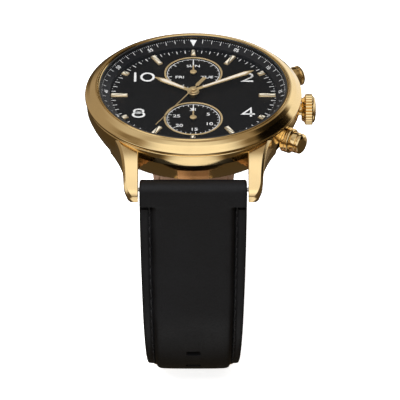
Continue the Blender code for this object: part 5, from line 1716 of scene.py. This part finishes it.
@dataclass
class Strap:
    """Both halves of the padded strap with their linings, stitches and keepers."""

    lean_deg: float = 8.0
    loop_bottom: float = -48.3
    front_flat: float = 6.0
    width_at_lugs: float = 21.5
    width_at_buckle: float = 16.6
    taper_curve: float = 1.7
    long_taper: float = 65.0
    short_taper: float = 34.0
    thick_at_lugs: float = 4.0
    thick_at_buckle: float = 2.6
    long_thickness_taper: float = 60.0
    short_thickness_taper: float = 24.0
    lining: float = 0.8
    lining_start: float = 4.5
    margin_start: float = 3.0
    long_length: float = 116.0
    tip_length: float = 9.0
    layer_gap: float = 0.15
    first_slot: float = 37.8
    slot_pitch: float = 6.0
    slot_count: int = 8
    slot_width: float = 3.0
    slot_length: float = 1.6
    stitch_pitch: float = 2.35
    stitch_length: float = 1.75
    stitch_radius: float = 0.17

    def build(self) -> None:
        """Builds the strap."""
        low, high = node_box("spring_bar_6")
        self.bar_reach, self.bar_height = -(low.y + high.y) / 2, (low.z + high.z) / 2
        self.pin = Vector(joint("tongue_swing")["pos_m"]) / MM
        self.arc_centre = Vector(joint("keeper_slide")["pos_m"]) / MM
        self.lay_paths()
        self.long_half()
        self.short_half()
        self.keepers()

    def lay_paths(self) -> None:
        """Works out the paths of both halves from the spring bars, the buckle pin and the back arc."""
        lean = math.radians(self.lean_deg)
        sweep = math.pi / 2 + lean
        straight, radius = self.side(self.loop_bottom, self.front_flat)
        layer = self.thick_at_buckle + self.layer_gap
        back_flat = self.arc_centre.y
        back_straight, inner_radius = self.side(self.loop_bottom + layer, back_flat)
        self.long_path = Path(-self.bar_reach, self.bar_height, -math.pi / 2 - lean)
        self.long_path.add(straight).add(radius * sweep, radius).add(self.front_flat + back_flat)
        self.long_path.add((inner_radius + layer) * sweep, inner_radius + layer).add(10.0)
        self.short_path = Path(self.pin.y, self.pin.z, 0.0)
        self.short_path.add(back_flat - self.pin.y).add(inner_radius * sweep, inner_radius).add(back_straight)

    def side(self, bottom: float, flat: float) -> Flat:
        """Straight length and arc radius that join a spring bar to the loop's bottom.

        Args:
            bottom: The loop's lowest height.
            flat: How far the flat bottom runs from the middle plane.

        Returns:
            The straight's length and the arc's radius.
        """
        lean = math.radians(self.lean_deg)
        sine, cosine = math.sin(lean), math.cos(lean)
        drop, reach = self.bar_height - bottom, self.bar_reach - flat
        straight = (drop - (1 + sine) * reach / cosine) / (cosine + (1 + sine) * sine / cosine)
        return straight, (reach + straight * sine) / cosine

    def long_width(self, s: float) -> float:
        """The long half's width.

        Args:
            s: Distance from its spring bar.

        Returns:
            The width.
        """
        share = min(1.0, max(0.0, s) / self.long_taper) ** self.taper_curve
        width = self.width_at_lugs + (self.width_at_buckle - self.width_at_lugs) * share
        past = (s - (self.long_length - self.tip_length)) / self.tip_length
        return width if past <= 0 else width * max(0.06, math.sqrt(max(0.0, 1 - past**2.4)))

    def short_width(self, s: float) -> float:
        """The short half's width at a distance from the buckle pin."""
        share = min(1.0, max(0.0, self.short_path.length - s) / self.short_taper) ** self.taper_curve
        return self.width_at_lugs + (self.width_at_buckle - self.width_at_lugs) * share

    def thickness(self, from_bar: float, taper: float) -> float:
        """A half's thickness at a distance from its spring bar."""
        share = min(1.0, max(0.0, from_bar) / taper)
        return self.thick_at_lugs + (self.thick_at_buckle - self.thick_at_lugs) * share

    def margin(self, width: float) -> float:
        """How wide the stitched margin is."""
        return min(1.65 + 0.75 * max(0.0, width - 18.0) / 3.5, 0.3 * width)

    def section(self, width: float, thick: float, lined: float, step: float) -> list[Flat]:
        """The upper leather's section: margin, stitch groove and padded middle.

        Args:
            width: The strap's width.
            thick: Its whole thickness.
            lined: 1 where the lining lies under it.
            step: 1 where the margins are lower than the middle, and 0 where they aren't.

        Returns:
            (across, out) points, all round.
        """
        half = width / 2
        inner = -thick / 2 + (self.lining + 0.03) * lined
        outer = thick / 2
        low = inner + (outer - inner) * (1 - 0.55 * step)
        edge = half - self.margin(width)
        groove = 0.17 * step
        side = min(0.32, (low - inner) * 0.4)
        right = [
            (half - 0.2, inner), (half - 0.05, inner + 0.06), (half, inner + side),
            (half + 0.02, (inner + low) / 2), (half, low - side), (half - 0.1, low - 0.1 * side / 0.32),
            (half - 0.32, low), (edge + 1.0, low + 0.015 * step), (edge + 0.72, low - 0.01),
            (edge + 0.56, low - groove * 0.75), (edge + 0.38, low - groove),
            (edge + 0.2, low - groove * 0.85), (edge + 0.06, low - groove * 0.2),
            (edge - 0.04, low + (outer - low) * 0.3), (edge - 0.2, low + (outer - low) * 0.62),
            (edge - 0.5, outer - 0.2 * step), (edge - 0.95, outer - 0.085 * step),
            (edge - 1.7, outer - 0.02 * step), (edge * 0.55, outer + 0.02), (edge * 0.28, outer + 0.035),
        ]
        return right + [(0.0, outer + 0.04)] + [(-x, out) for x, out in reversed(right)] + [(0.0, inner)]

    def end_rings(
        self, path: Path, at: float, way: int, width: Callable[[float], float]
    ) -> list[list[Vector]]:
        """Rings of the rounded end that wraps a spring bar.

        Args:
            path: The half's path.
            at: Where the bar is on it.
            way: 1 if the path leads away from the bar, and -1 if it leads to it.
            width: The half's width along its path.

        Returns:
            The rings, from the end inwards.
        """
        radius = self.thick_at_lugs / 2
        rings = []
        count = 12
        for k in range(count):
            angle = math.radians(7 + 80 * k / (count - 1))
            s = at - way * radius * math.cos(angle)
            rounding = 0.9 * (1 - math.sin(angle)) ** 1.5
            outline = self.section(width(at) - 2 * rounding, 2 * radius * math.sin(angle), 0, 0)
            rings.append([path.point(s, x, out) for x, out in outline])
        return rings

    def stations(self, start: float, end: float, pitch: float = 0.7) -> list[float]:
        """Even distances from start to end, about so far apart."""
        count = max(1, round((end - start) / pitch))
        return [start + (end - start) * i / count for i in range(count + 1)]

    def long_half(self) -> None:
        """The 6 o'clock half: upper, lining, slots and stitches."""
        path, end = self.long_path, self.long_length
        rings = self.end_rings(path, 0.0, 1, self.long_width)
        begin = self.margin_start
        places = [0.7, 1.6, 2.6, self.lining_start - 0.2, self.lining_start - 0.1]
        places += [begin + d for d in (0.0, 0.08, 0.16, 0.24, 0.34, 0.5)]
        places += self.stations(begin + 0.9, end - self.tip_length)
        shares = (0.12, 0.25, 0.38, 0.5, 0.62, 0.73, 0.82, 0.9, 0.95, 0.985, 1.0)
        places += [end - self.tip_length * (1 - t) for t in shares]
        places.sort()
        for s in places:
            step = min(1.0, max(0.0, (s - begin) / 0.34))
            lined = 1.0 if s > self.lining_start - 0.15 else 0.0
            thick = self.thickness(s, self.long_thickness_taper)
            outline = self.section(self.long_width(s), thick, lined, step * step * (3 - 2 * step))
            rings.append([path.point(s, x, out) for x, out in outline])
        slots = []
        half_w, half_l = self.slot_width / 2, self.slot_length / 2
        for k in range(self.slot_count):
            corners = [
                (x, y, 0.45) for x,
                y in ((-half_w, -half_l), (half_w, -half_l), (half_w, half_l), (-half_w, half_l))
            ]
            slots.append((filleted(corners, True, 5), path.frame(self.first_slot + k * self.slot_pitch)))
        bore = moved(
            turned([(0, -14), (0.9, -14), (0.9, 14), (0, 14)], 40), across(-self.bar_reach, self.bar_height)
        )
        cutters = [bore] + [moved(plate(outline, -3.0, 3.0), matrix) for outline, matrix in slots]
        body = combined(loft(rings), cutters, "DIFFERENCE")
        upper = piece("long_strap_upper", body, LEATHER, Body.CASE, ["strap_long"], sharp=50)
        spots = [self.lining_start, *(s for s in places[:-2] if s > self.lining_start + 0.1)]
        lining = loft(self.lining_rings(path, spots, self.long_width, self.long_thickness_taper, 0.0))
        lining = combined(
            lining, [moved(plate(outline, -3.0, 3.0), matrix) for outline, matrix in slots], "DIFFERENCE"
        )
        piece("long_strap_lining", lining, LINING, Body.CASE, ["strap_long_lining"], sharp=50)
        last = end - self.tip_length * 0.55
        self.stitches(
            "long", path, begin + 1.5, last, self.long_width, lambda s: s, self.long_thickness_taper, 1.0
        )

    def lining_rings(
        self, path: Path, places: Sequence[float], width: Callable[[float], float], taper: float, total: float
    ) -> list[list[Vector]]:
        """Rings of a lining.

        Args:
            path: The half's path.
            places: Distances along it.
            width: The half's width along its path.
            taper: How far its thickness tapers.
            total: The path's length if it leads to the spring bar, or 0 if it leads away.

        Returns:
            The rings.
        """
        rings = []
        for s in places:
            half = width(s) / 2 - 0.12
            low = -self.thickness(abs(total - s), taper) / 2
            high = low + self.lining
            outline = filleted(
                [(-half, low, 0.25), (half, low, 0.25), (half, high, 0.08), (-half, high, 0.08)], True, 4
            )
            rings.append([path.point(s, x, out) for x, out in outline])
        return rings

    def short_half(self) -> None:
        """The 12 o'clock half, from the buckle pin to the spring bar."""
        path = self.short_path
        total = path.length
        radius = self.thick_at_buckle / 2
        rings = []
        for k in range(8):
            angle = math.radians(8 + 78 * k / 7)
            outline = self.section(self.width_at_buckle, 2 * radius * math.sin(angle), 0, 0)
            rings.append([path.point(-radius * math.cos(angle), x, out) for x, out in outline])
        lining_from, end = 3.0, total - self.margin_start
        places = [0.8, 1.8, lining_from - 0.3, lining_from - 0.2, lining_from, 3.3, 3.6]
        places += self.stations(4.2, end - 0.9)
        places += [end - d for d in (0.5, 0.34, 0.24, 0.16, 0.08, 0.0)]
        places += [
            end + 0.3, total - self.lining_start + 0.1, total - self.lining_start + 0.2, total - 2.0,
            total - 0.8
        ]
        places.sort()
        for s in places:
            step = min(1.0, max(0.0, (end - s) / 0.34), max(0.0, (s - lining_from) / 0.6))
            lined = 1.0 if lining_from - 0.25 < s < total - self.lining_start + 0.15 else 0.0
            thick = self.thickness(total - s, self.short_thickness_taper)
            outline = self.section(self.short_width(s), thick, lined, 0.75 * step * step * (3 - 2 * step))
            rings.append([path.point(s, x, out) for x, out in outline])
        rings += list(reversed(self.end_rings(path, total, -1, self.short_width)))
        notch = plate(
            filleted([(-1.55, -5.0, 0), (1.55, -5.0, 0), (1.55, 2.2, 0.6), (-1.55, 2.2, 0.6)]), -5.0, 5.0
        )
        cutters = [
            moved(
                turned([(0, -14), (0.9, -14), (0.9, 14), (0, 14)], 40),
                across(self.bar_reach, self.bar_height)
            ),
            moved(turned([(0, -14), (0.8, -14), (0.8, 14), (0, 14)], 40), across(self.pin.y, self.pin.z)),
            moved(notch, path.frame(0.0)),
        ]
        body = combined(loft(rings), cutters, "DIFFERENCE")
        upper = piece("short_strap_upper", body, LEATHER, Body.CASE, ["strap_short"], sharp=50)
        spots = [lining_from, *self.stations(lining_from + 0.6, total - self.lining_start)]
        lining = loft(self.lining_rings(path, spots, self.short_width, self.short_thickness_taper, total))
        piece("short_strap_lining", lining, LINING, Body.CASE, ["strap_short_lining"], sharp=50)
        self.stitches(
            "short", path, 5.0, end - 1.5, self.short_width, lambda s: total - s,
            self.short_thickness_taper, 0.75,
        )

    def stitch(self, length: float, radius: float) -> bmesh.types.BMesh:
        """One stitch along Y: a thread that dips into the leather at both ends.

        Args:
            length: Its length.
            radius: The thread's radius.

        Returns:
            Its mesh.
        """
        rings = []
        for k in range(9):
            t = k / 8
            size = radius * (0.35 + 0.65 * math.sin(math.pi * (0.08 + 0.84 * t)) ** 0.5)
            drop = -0.16 * (2 * t - 1) ** 4
            rings.append([
                Vector((size * 1.15 * math.cos(a), length * (t - 0.5), drop + size * math.sin(a)))
                for a in (2 * math.pi * j / 10 for j in range(10))
            ])
        return loft(rings)

    def stitches(
        self, name: str, path: Path, start: float, end: float, width: Callable[[float], float],
        from_bar: Callable[[float], float], taper: float, step: float,
    ) -> None:
        """Rows of stitches in both margins, on the face and on the lining.

        Args:
            name: Long or short.
            path: The half's path.
            start: Where the rows start.
            end: Where the rows end.
            width: The half's width along its path.
            from_bar: Distance from the spring bar for a distance along the path.
            taper: How far its thickness tapers.
            step: How much lower the margins are.
        """
        face, back = [], []
        count = int((end - start) / self.stitch_pitch)
        for k in range(count + 1):
            s = start + k * self.stitch_pitch
            thick = self.thickness(from_bar(s), taper)
            inner = -thick / 2 + self.lining + 0.03
            low = inner + (thick / 2 - inner) * (1 - 0.55 * step)
            across_at = width(s) / 2 - self.margin(width(s)) + 0.38
            for sign in (1, -1):
                slant = Matrix.Rotation(math.radians(5) * sign, 4, "Z")
                place = path.frame(s) @ Matrix.Translation((sign * across_at, 0, low - 0.17 * step + 0.1))
                face.append(moved(self.stitch(self.stitch_length, self.stitch_radius), place @ slant))
                place = path.frame(s) @ Matrix.Translation((sign * across_at, 0, -thick / 2 - 0.02))
                back.append(moved(
                    self.stitch(self.stitch_length * 0.9, 0.13), place @ Matrix.Rotation(math.pi, 4, "Y")
                ))
        if name == "long":
            s = self.margin_start + 0.62
            for sign in (1, -1):
                reach = width(s) / 2 - self.margin(width(s)) / 2 + 0.2
                thick = self.thickness(s, taper)
                inner = -thick / 2 + self.lining + 0.03
                low = inner + (thick / 2 - inner) * (1 - 0.55 * step)
                place = path.frame(s) @ Matrix.Translation((sign * reach, 0, low + 0.03))
                face.append(moved(self.stitch(1.5, 0.15), place @ Matrix.Rotation(math.pi / 2, 4, "Z")))
        piece(f"{name}_strap_stitches", joined(face), BLACK_THREAD, Body.CASE, sharp=60, merge=0)
        piece(f"{name}_lining_stitches", joined(back), TAN_THREAD, Body.CASE, sharp=60, merge=0)

    def keepers(self) -> None:
        """The fixed keeper beside the buckle and the free one up the back arc."""
        layer = self.thick_at_buckle + self.layer_gap
        low_box, high_box = node_box("keeper_fixed")
        fixed_at = (low_box.y + high_box.y) / 2 - self.pin.y
        low_free, high_free = node_box("keeper_free")
        middle = (low_free + high_free) / 2 - self.arc_centre
        free_angle = math.atan2(middle.y, -middle.z)
        inner_radius = self.pin.z - self.arc_centre.z
        free_at = (self.arc_centre.y - self.pin.y) + free_angle * abs(inner_radius)
        stand = Matrix(((1, 0, 0, 0), (0, 0, 1, 0), (0, 1, 0, 0), (0, 0, 0, 1)))
        half_band = 2.5
        for name, s, sag, body in (
            ("keeper_fixed", fixed_at, 0.0, Body.CASE), ("keeper_free", free_at, 0.25, Body.KEEPER)
        ):
            width = self.width_at_buckle + 0.9
            low, high = -self.thick_at_buckle / 2 - 0.3 - sag, layer + self.thick_at_buckle / 2 + 0.3
            outlines = []
            for grow, corner in ((1.2, 0.95), (0.0, 0.35)):
                x, bottom, top = width / 2 + grow, low - grow, high + grow
                outlines.append(filleted(
                    [(-x, bottom, corner), (x, bottom, corner), (x, top, corner), (-x, top, corner)], True, 7
                ))
            bm = plate(outlines[0], -half_band, half_band, 0.35, outlines[1], True)
            matrix = self.short_path.frame(s) @ stand
            piece(f"{name}_band", moved(bm, matrix), EDGE_LEATHER, body, [name], sharp=50)
            threads = []
            count = 9
            for k in range(count):
                x = (k - (count - 1) / 2) * 1.95
                for along in (-1.75, 1.75):
                    place = Matrix.Translation((x, high + 1.2 + 0.02, along)) @ Matrix.Rotation(
                        -math.pi / 2, 4, "X"
                    )
                    thread = moved(self.stitch(1.5, 0.14), Matrix.Rotation(math.pi / 2, 4, "Z"))
                    threads.append(moved(thread, matrix @ place))
            piece(f"{name}_stitches", joined(threads), BLACK_THREAD, body, sharp=60, merge=0)


# ---- Buckle ------------------------------------------------------------------------------------------------
@dataclass
class Buckle:
    """The pin buckle's frame, pin and tongue."""

    side_gap: float = 0.2
    arm: float = 1.1
    strap_width: float = 16.6
    bar_width: float = 2.4
    bar_thickness: float = 1.7
    edge_rounding: float = 0.45
    eye_radius: float = 1.35
    pin_radius: float = 0.7
    tongue_width: float = 2.5
    tongue_thickness: float = 0.8

    def build(self) -> None:
        """Builds the buckle."""
        self.pin = Vector(joint("tongue_swing")["pos_m"]) / MM
        self.low, self.high = node_box("buckle_frame")
        self.frame()
        self.tongue()
        reach = self.high.x - 0.2
        profile = filleted([
            (0, -reach, 0), (self.pin_radius, -reach, 0.15), (self.pin_radius, reach, 0.15), (0, reach, 0),
        ], False, 5)
        bm = moved(turned(profile, 48), across(self.pin.y, self.pin.z))
        piece("buckle_axle", bm, STEEL, Body.CASE, ["buckle_pin"], sharp=35)

    def frame(self) -> None:
        """The frame: a rounded bar and two arms that lead to the eyes."""
        inner = self.strap_width / 2 + self.side_gap
        middle = inner + self.arm / 2
        bar_y = self.low.y + self.bar_width / 2
        bar_z = self.low.z + self.bar_thickness / 2
        bar_wide, bar_thick = self.bar_width / 2, self.bar_thickness / 2
        corner = 1.9
        spine: list[Vector] = [
            Vector((middle, self.pin.y, self.pin.z)), Vector((middle, self.pin.y - 3.2, bar_z + 2.1))
        ]
        spine += [
            Vector((
                middle - corner + corner * math.cos(t), bar_y + corner - corner * math.sin(t),
                bar_z + 0.25 * math.cos(t)
            ))
            for t in (math.pi / 2 * k / 8 for k in range(9))
        ]
        spine += [Vector((-p.x, p.y, p.z)) for p in reversed(spine)]
        rings = []
        for i, p in enumerate(spine):
            ahead = (spine[min(i + 1, len(spine) - 1)] - spine[max(i - 1, 0)]).normalized()
            side = ahead.cross(Vector((0, 0, 1))).normalized()
            up = side.cross(ahead)
            share = min(1.0, max(0.0, (middle + 0.1 - abs(p.x)) / corner))
            wide = self.arm / 2 * (1 - share) + bar_wide * share
            edge = self.edge_rounding
            corners = [
                (-wide, -bar_thick, edge), (wide, -bar_thick, edge), (wide, bar_thick, edge),
                (-wide, bar_thick, edge)
            ]
            outline = filleted(corners, True, 5)
            rings.append([p + side * x + up * z for x, z in outline])
        eyes = []
        for sign in (1, -1):
            low, high = sorted((sign * inner, sign * (inner + self.arm)))
            profile = filleted(
                [(0, low, 0), (self.eye_radius, low, 0.2), (self.eye_radius, high, 0.2), (0, high, 0)], False,
                5
            )
            eyes.append(moved(turned(profile, 48), across(self.pin.y, self.pin.z)))
        solid = combined(loft(rings), eyes, "UNION")
        bore = moved(turned([(0, -14), (0.75, -14), (0.75, 14), (0, 14)], 40), across(self.pin.y, self.pin.z))
        half = self.tongue_width / 2 + 0.2
        rest = bmesh.new()
        bmesh.ops.create_cube(rest, size=1.0)
        size = Matrix.Diagonal((2 * half, 2 * self.bar_width, 2 * (self.tongue_thickness + 0.15), 1))
        rest.transform(Matrix.Translation((0, bar_y, self.low.z)) @ size)
        piece(
            "buckle_loop", combined(solid, [bore, rest], "DIFFERENCE"), GOLD, Body.CASE, ["buckle_frame"],
            sharp=38
        )

    def tongue(self) -> None:
        """The tongue: an eye round the pin, a leg through the slot and a blade that rests on the bar."""
        low = node_box("buckle_tongue")[0]
        t = self.tongue_thickness
        hook = self.pin_radius + 0.06 + t
        bottom, front = self.low.z, self.low.y
        slot_front = self.pin.y - 1.7 - 0.8 + 0.1
        slot_rear = slot_front + t
        eye = [
            (self.pin.y + hook * math.cos(a), self.pin.z + hook * math.sin(a), 0.0)
            for a in (math.radians(-60 + 15 * k) for k in range(15))
        ]
        rear = front + self.bar_width
        top = bottom + self.bar_thickness
        corners = [
            (low.y + 0.2, bottom + 0.1 + t * 0.9, 0.25), (low.y, bottom + 0.45, 0.15),
            (low.y + 0.2, bottom + 0.1, 0.2), (rear, bottom + 0.05, 0.8),
            (slot_rear - 1.3, top - 0.95, 1.6), (slot_rear, top + 0.1, 0.8),
            (slot_rear, self.pin.z - hook * 0.8, 0.1), *eye, (slot_front, self.pin.z - 0.5, 0.5),
            (slot_front, top, 0.5), (slot_front - 0.9, top - 0.15, 1.0), (rear, bottom + 0.05 + t, 0.6),
        ]
        half = self.tongue_width / 2
        blade = moved(plate(filleted(corners, True, 5), -half, half, 0.14, None, True), SIDEWAYS)
        bore = moved(turned([(0, -14), (0.76, -14), (0.76, 14), (0, 14)], 40), across(self.pin.y, self.pin.z))
        piece(
            "buckle_prong", combined(blade, [bore], "DIFFERENCE"), GOLD, Body.TONGUE, ["buckle_tongue"],
            sharp=38
        )


# ---- Studio ------------------------------------------------------------------------------------------------
@dataclass(frozen=True)
class Panel:
    """A round soft light or dark flag. Its angles are in degrees."""

    name: str
    azimuth: float
    height: float
    wide: float
    soft: float
    power: float

    def way(self) -> Vector:
        """The direction it stands in. Azimuth 0 is the camera's side and 90 is the crown's."""
        round_z, up = math.radians(self.azimuth), math.radians(self.height)
        return Vector((math.sin(round_z) * math.cos(up), -math.cos(round_z) * math.cos(up), math.sin(up)))


@dataclass
class Studio:
    """The floor, the soft light and the camera."""

    distance: float = 1000.0
    elevation_deg: float = 34.8
    sensor: float = 36.0
    lens: float = 445.0
    aim_right: float = 1.35
    aim_down: float = 21.07
    dial_height: float = 9.0
    power: float = 1.2
    panels: tuple[Panel, ...] = (
        Panel("front, high", 0, 55, 20, 25, 0.7),
        Panel("front, level", 0, 20, 10, 15, 0.5),
        Panel("front, low", 0, -45, 12, 18, 0.85),
        Panel("back right, level", 145, 5, 22, 22, 0.8),
        Panel("back left, high", -135, 35, 25, 25, 0.25),
        Panel("left, level", -60, 20, 12, 15, 0.8),
        Panel("overhead", 0, 90, 25, 30, 0.2),
    )
    flags: tuple[Panel, ...] = (
        Panel("right, high", 100, 30, 17, 6, 0.97),
        Panel("back right, high", 125, 45, 12, 8, 0.95),
        Panel("back, high", 180, 30, 9, 12, 0.9),
    )
    ambient: float = 0.07
    ambient_rise: float = 0.03
    floor_reach: float = 3.5
    floor_gap: float = 0.0001
    floor_glow: float = 0.8
    dome_radius: float = 4.0
    dome_glow: float = 1.0
    paper_white: float = 0.93
    lamp_power: float = 11.0
    lamp_place: tuple[float, float, float] = (-0.15, -0.35, 0.75)
    lamp_size: float = 0.7

    def build(self) -> None:
        """Sets up the studio."""
        bpy.context.scene.view_settings.view_transform = "Standard"
        bpy.context.scene.view_settings.look = "None"
        self.floor()
        self.dome()
        self.sky()
        self.lamp()
        self.camera()

    def floor(self) -> None:
        """A plain pale floor just under the strap."""
        bm = bmesh.new()
        bmesh.ops.create_grid(bm, x_segments=1, y_segments=1, size=self.floor_reach)
        self.backdrop("floor", bm, self.floor_glow).location.z = CAD_BOX[0][2] - self.floor_gap

    def dome(self) -> None:
        """A plain pale backdrop all round, which the watch isn't lit by."""
        bm = bmesh.new()
        bmesh.ops.create_uvsphere(bm, u_segments=48, v_segments=24, radius=self.dome_radius)
        self.backdrop("backdrop", bm, self.dome_glow).visible_shadow = False

    def backdrop(self, name: str, bm: bmesh.types.BMesh, glow: float) -> bpy.types.Object:
        """A pale sheet that the camera sees, and that neither lights the watch nor is mirrored in it.

        Args:
            name: Its name.
            bm: Its mesh, which is used up.
            glow: How strongly it shines.

        Returns:
            The sheet.
        """
        mesh = bpy.data.meshes.new(name)
        bm.to_mesh(mesh)
        bm.free()
        made = bpy.data.materials.new(f"{name}_paper")
        made.use_nodes = True
        shader = made.node_tree.nodes["Principled BSDF"]
        shader.inputs["Base Color"].default_value = (*(self.paper_white,) * 3, 1.0)
        shader.inputs["Roughness"].default_value = 0.9
        shader.inputs["Specular IOR Level"].default_value = 0.0
        shader.inputs["Emission Color"].default_value = (1.0, 1.0, 1.0, 1.0)
        shader.inputs["Emission Strength"].default_value = glow
        mesh.materials.append(made)
        sheet = bpy.data.objects.new(name, mesh)
        bpy.context.scene.collection.objects.link(sheet)
        sheet.visible_glossy = False
        sheet.visible_diffuse = False
        return sheet

    def sky(self) -> None:
        """Soft panels and dark flags round the watch, as one background."""
        world = bpy.data.worlds.new("studio")
        bpy.context.scene.world = world
        world.use_nodes = True
        graph = Graph(world.node_tree)
        direction = graph.node("ShaderNodeTexCoord").outputs["Generated"]

        def towards(way: Vector) -> Value:
            """How near a direction is to another: 1 for the same."""
            dot = graph.node("ShaderNodeVectorMath", {"operation": "DOT_PRODUCT"}, {0: direction, 1: way})
            return Value(graph, dot.outputs["Value"])

        def spot(panel: Panel) -> Value:
            """1 on the panel, eased to 0 over its soft edge."""
            edge = math.radians(panel.wide + panel.soft)
            return towards(panel.way()).smooth(math.cos(edge), math.cos(math.radians(panel.wide)))

        light = towards(Vector((0, 0, 1))).smooth(-0.9, 0.6) * self.ambient_rise + self.ambient
        for panel in self.panels:
            light = light + spot(panel) * (panel.power * self.power)
            LOG.info("%s panel: %g degrees to its edge", panel.name, panel.wide)
        for flag in self.flags:
            light = light * (1 - spot(flag) * flag.power)
            LOG.info("%s flag: %g degrees to its edge", flag.name, flag.wide)
        tint = graph.mix(light.smooth(0.0, 0.8), (1.0, 0.74, 0.42), (1.0, 1.0, 1.0))
        background = next(n for n in world.node_tree.nodes if n.type == "BACKGROUND")
        graph.tree.links.new(tint, background.inputs["Color"])
        graph.tree.links.new(light.socket, background.inputs["Strength"])

    def lamp(self) -> None:
        """A large soft lamp for the paint, the leather and the floor. The metal mirrors only the panels."""
        data = bpy.data.lights.new("lamp", "AREA")
        data.shape = "DISK"
        data.size = self.lamp_size
        data.energy = self.lamp_power
        lamp = bpy.data.objects.new("lamp", data)
        place = Vector(self.lamp_place)
        lamp.location = place
        lamp.rotation_euler = (-place).to_track_quat("-Z", "Y").to_euler()
        lamp.visible_glossy = False
        bpy.context.scene.collection.objects.link(lamp)

    def camera(self) -> None:
        """The camera, at the front and above."""
        tilt = math.radians(self.elevation_deg)
        ahead = Vector((0, math.cos(tilt), -math.sin(tilt)))
        up = Vector((0, math.sin(tilt), math.cos(tilt)))
        aim = Vector((self.aim_right, 0, self.dial_height)) - up * self.aim_down
        data = bpy.data.cameras.new("camera")
        data.sensor_width = self.sensor
        data.lens = self.lens
        data.clip_start = 0.05
        data.clip_end = 20.0
        camera = bpy.data.objects.new("camera", data)
        camera.location = (aim - ahead * self.distance) * MM
        camera.rotation_euler = (math.pi / 2 - tilt, 0, 0)
        bpy.context.scene.collection.objects.link(camera)
        bpy.context.scene.camera = camera


def dress_movement() -> None:
    """Gives each node that the model still shows its finish."""
    finishes = {
        GOLD: ("crown_tube",),
        STEEL: ("winding_stem", "setting_lever", "battery", "movement_cover", "spring_bar_6", "spring_bar_12",
                "seconds_arbor", "upper_pusher_clip", "lower_pusher_clip"),
        BRASS: ("main_plate", "hour_wheel", "minute_wheel", "cannon_pinion", "day_wheel", "date_wheel"),
        RUBBER: ("back_gasket",),
        PLASTIC: ("movement_holder",),
    }
    for finish, names in finishes.items():
        for name in names:
            node = frame["nodes"][name]
            for slot in node.material_slots:
                slot.material = finish.material()
            LOG.info("%s: dressed in %s", name, finish.name)


def main() -> None:
    """Builds the watch and its studio."""
    logging.basicConfig(level=logging.INFO, format="%(message)s")
    for part in (Case(), Dial(), Hands(), Controls(), Strap(), Buckle(), Studio()):
        part.build()
    dress_movement()


if __name__ == "__main__":
    main()
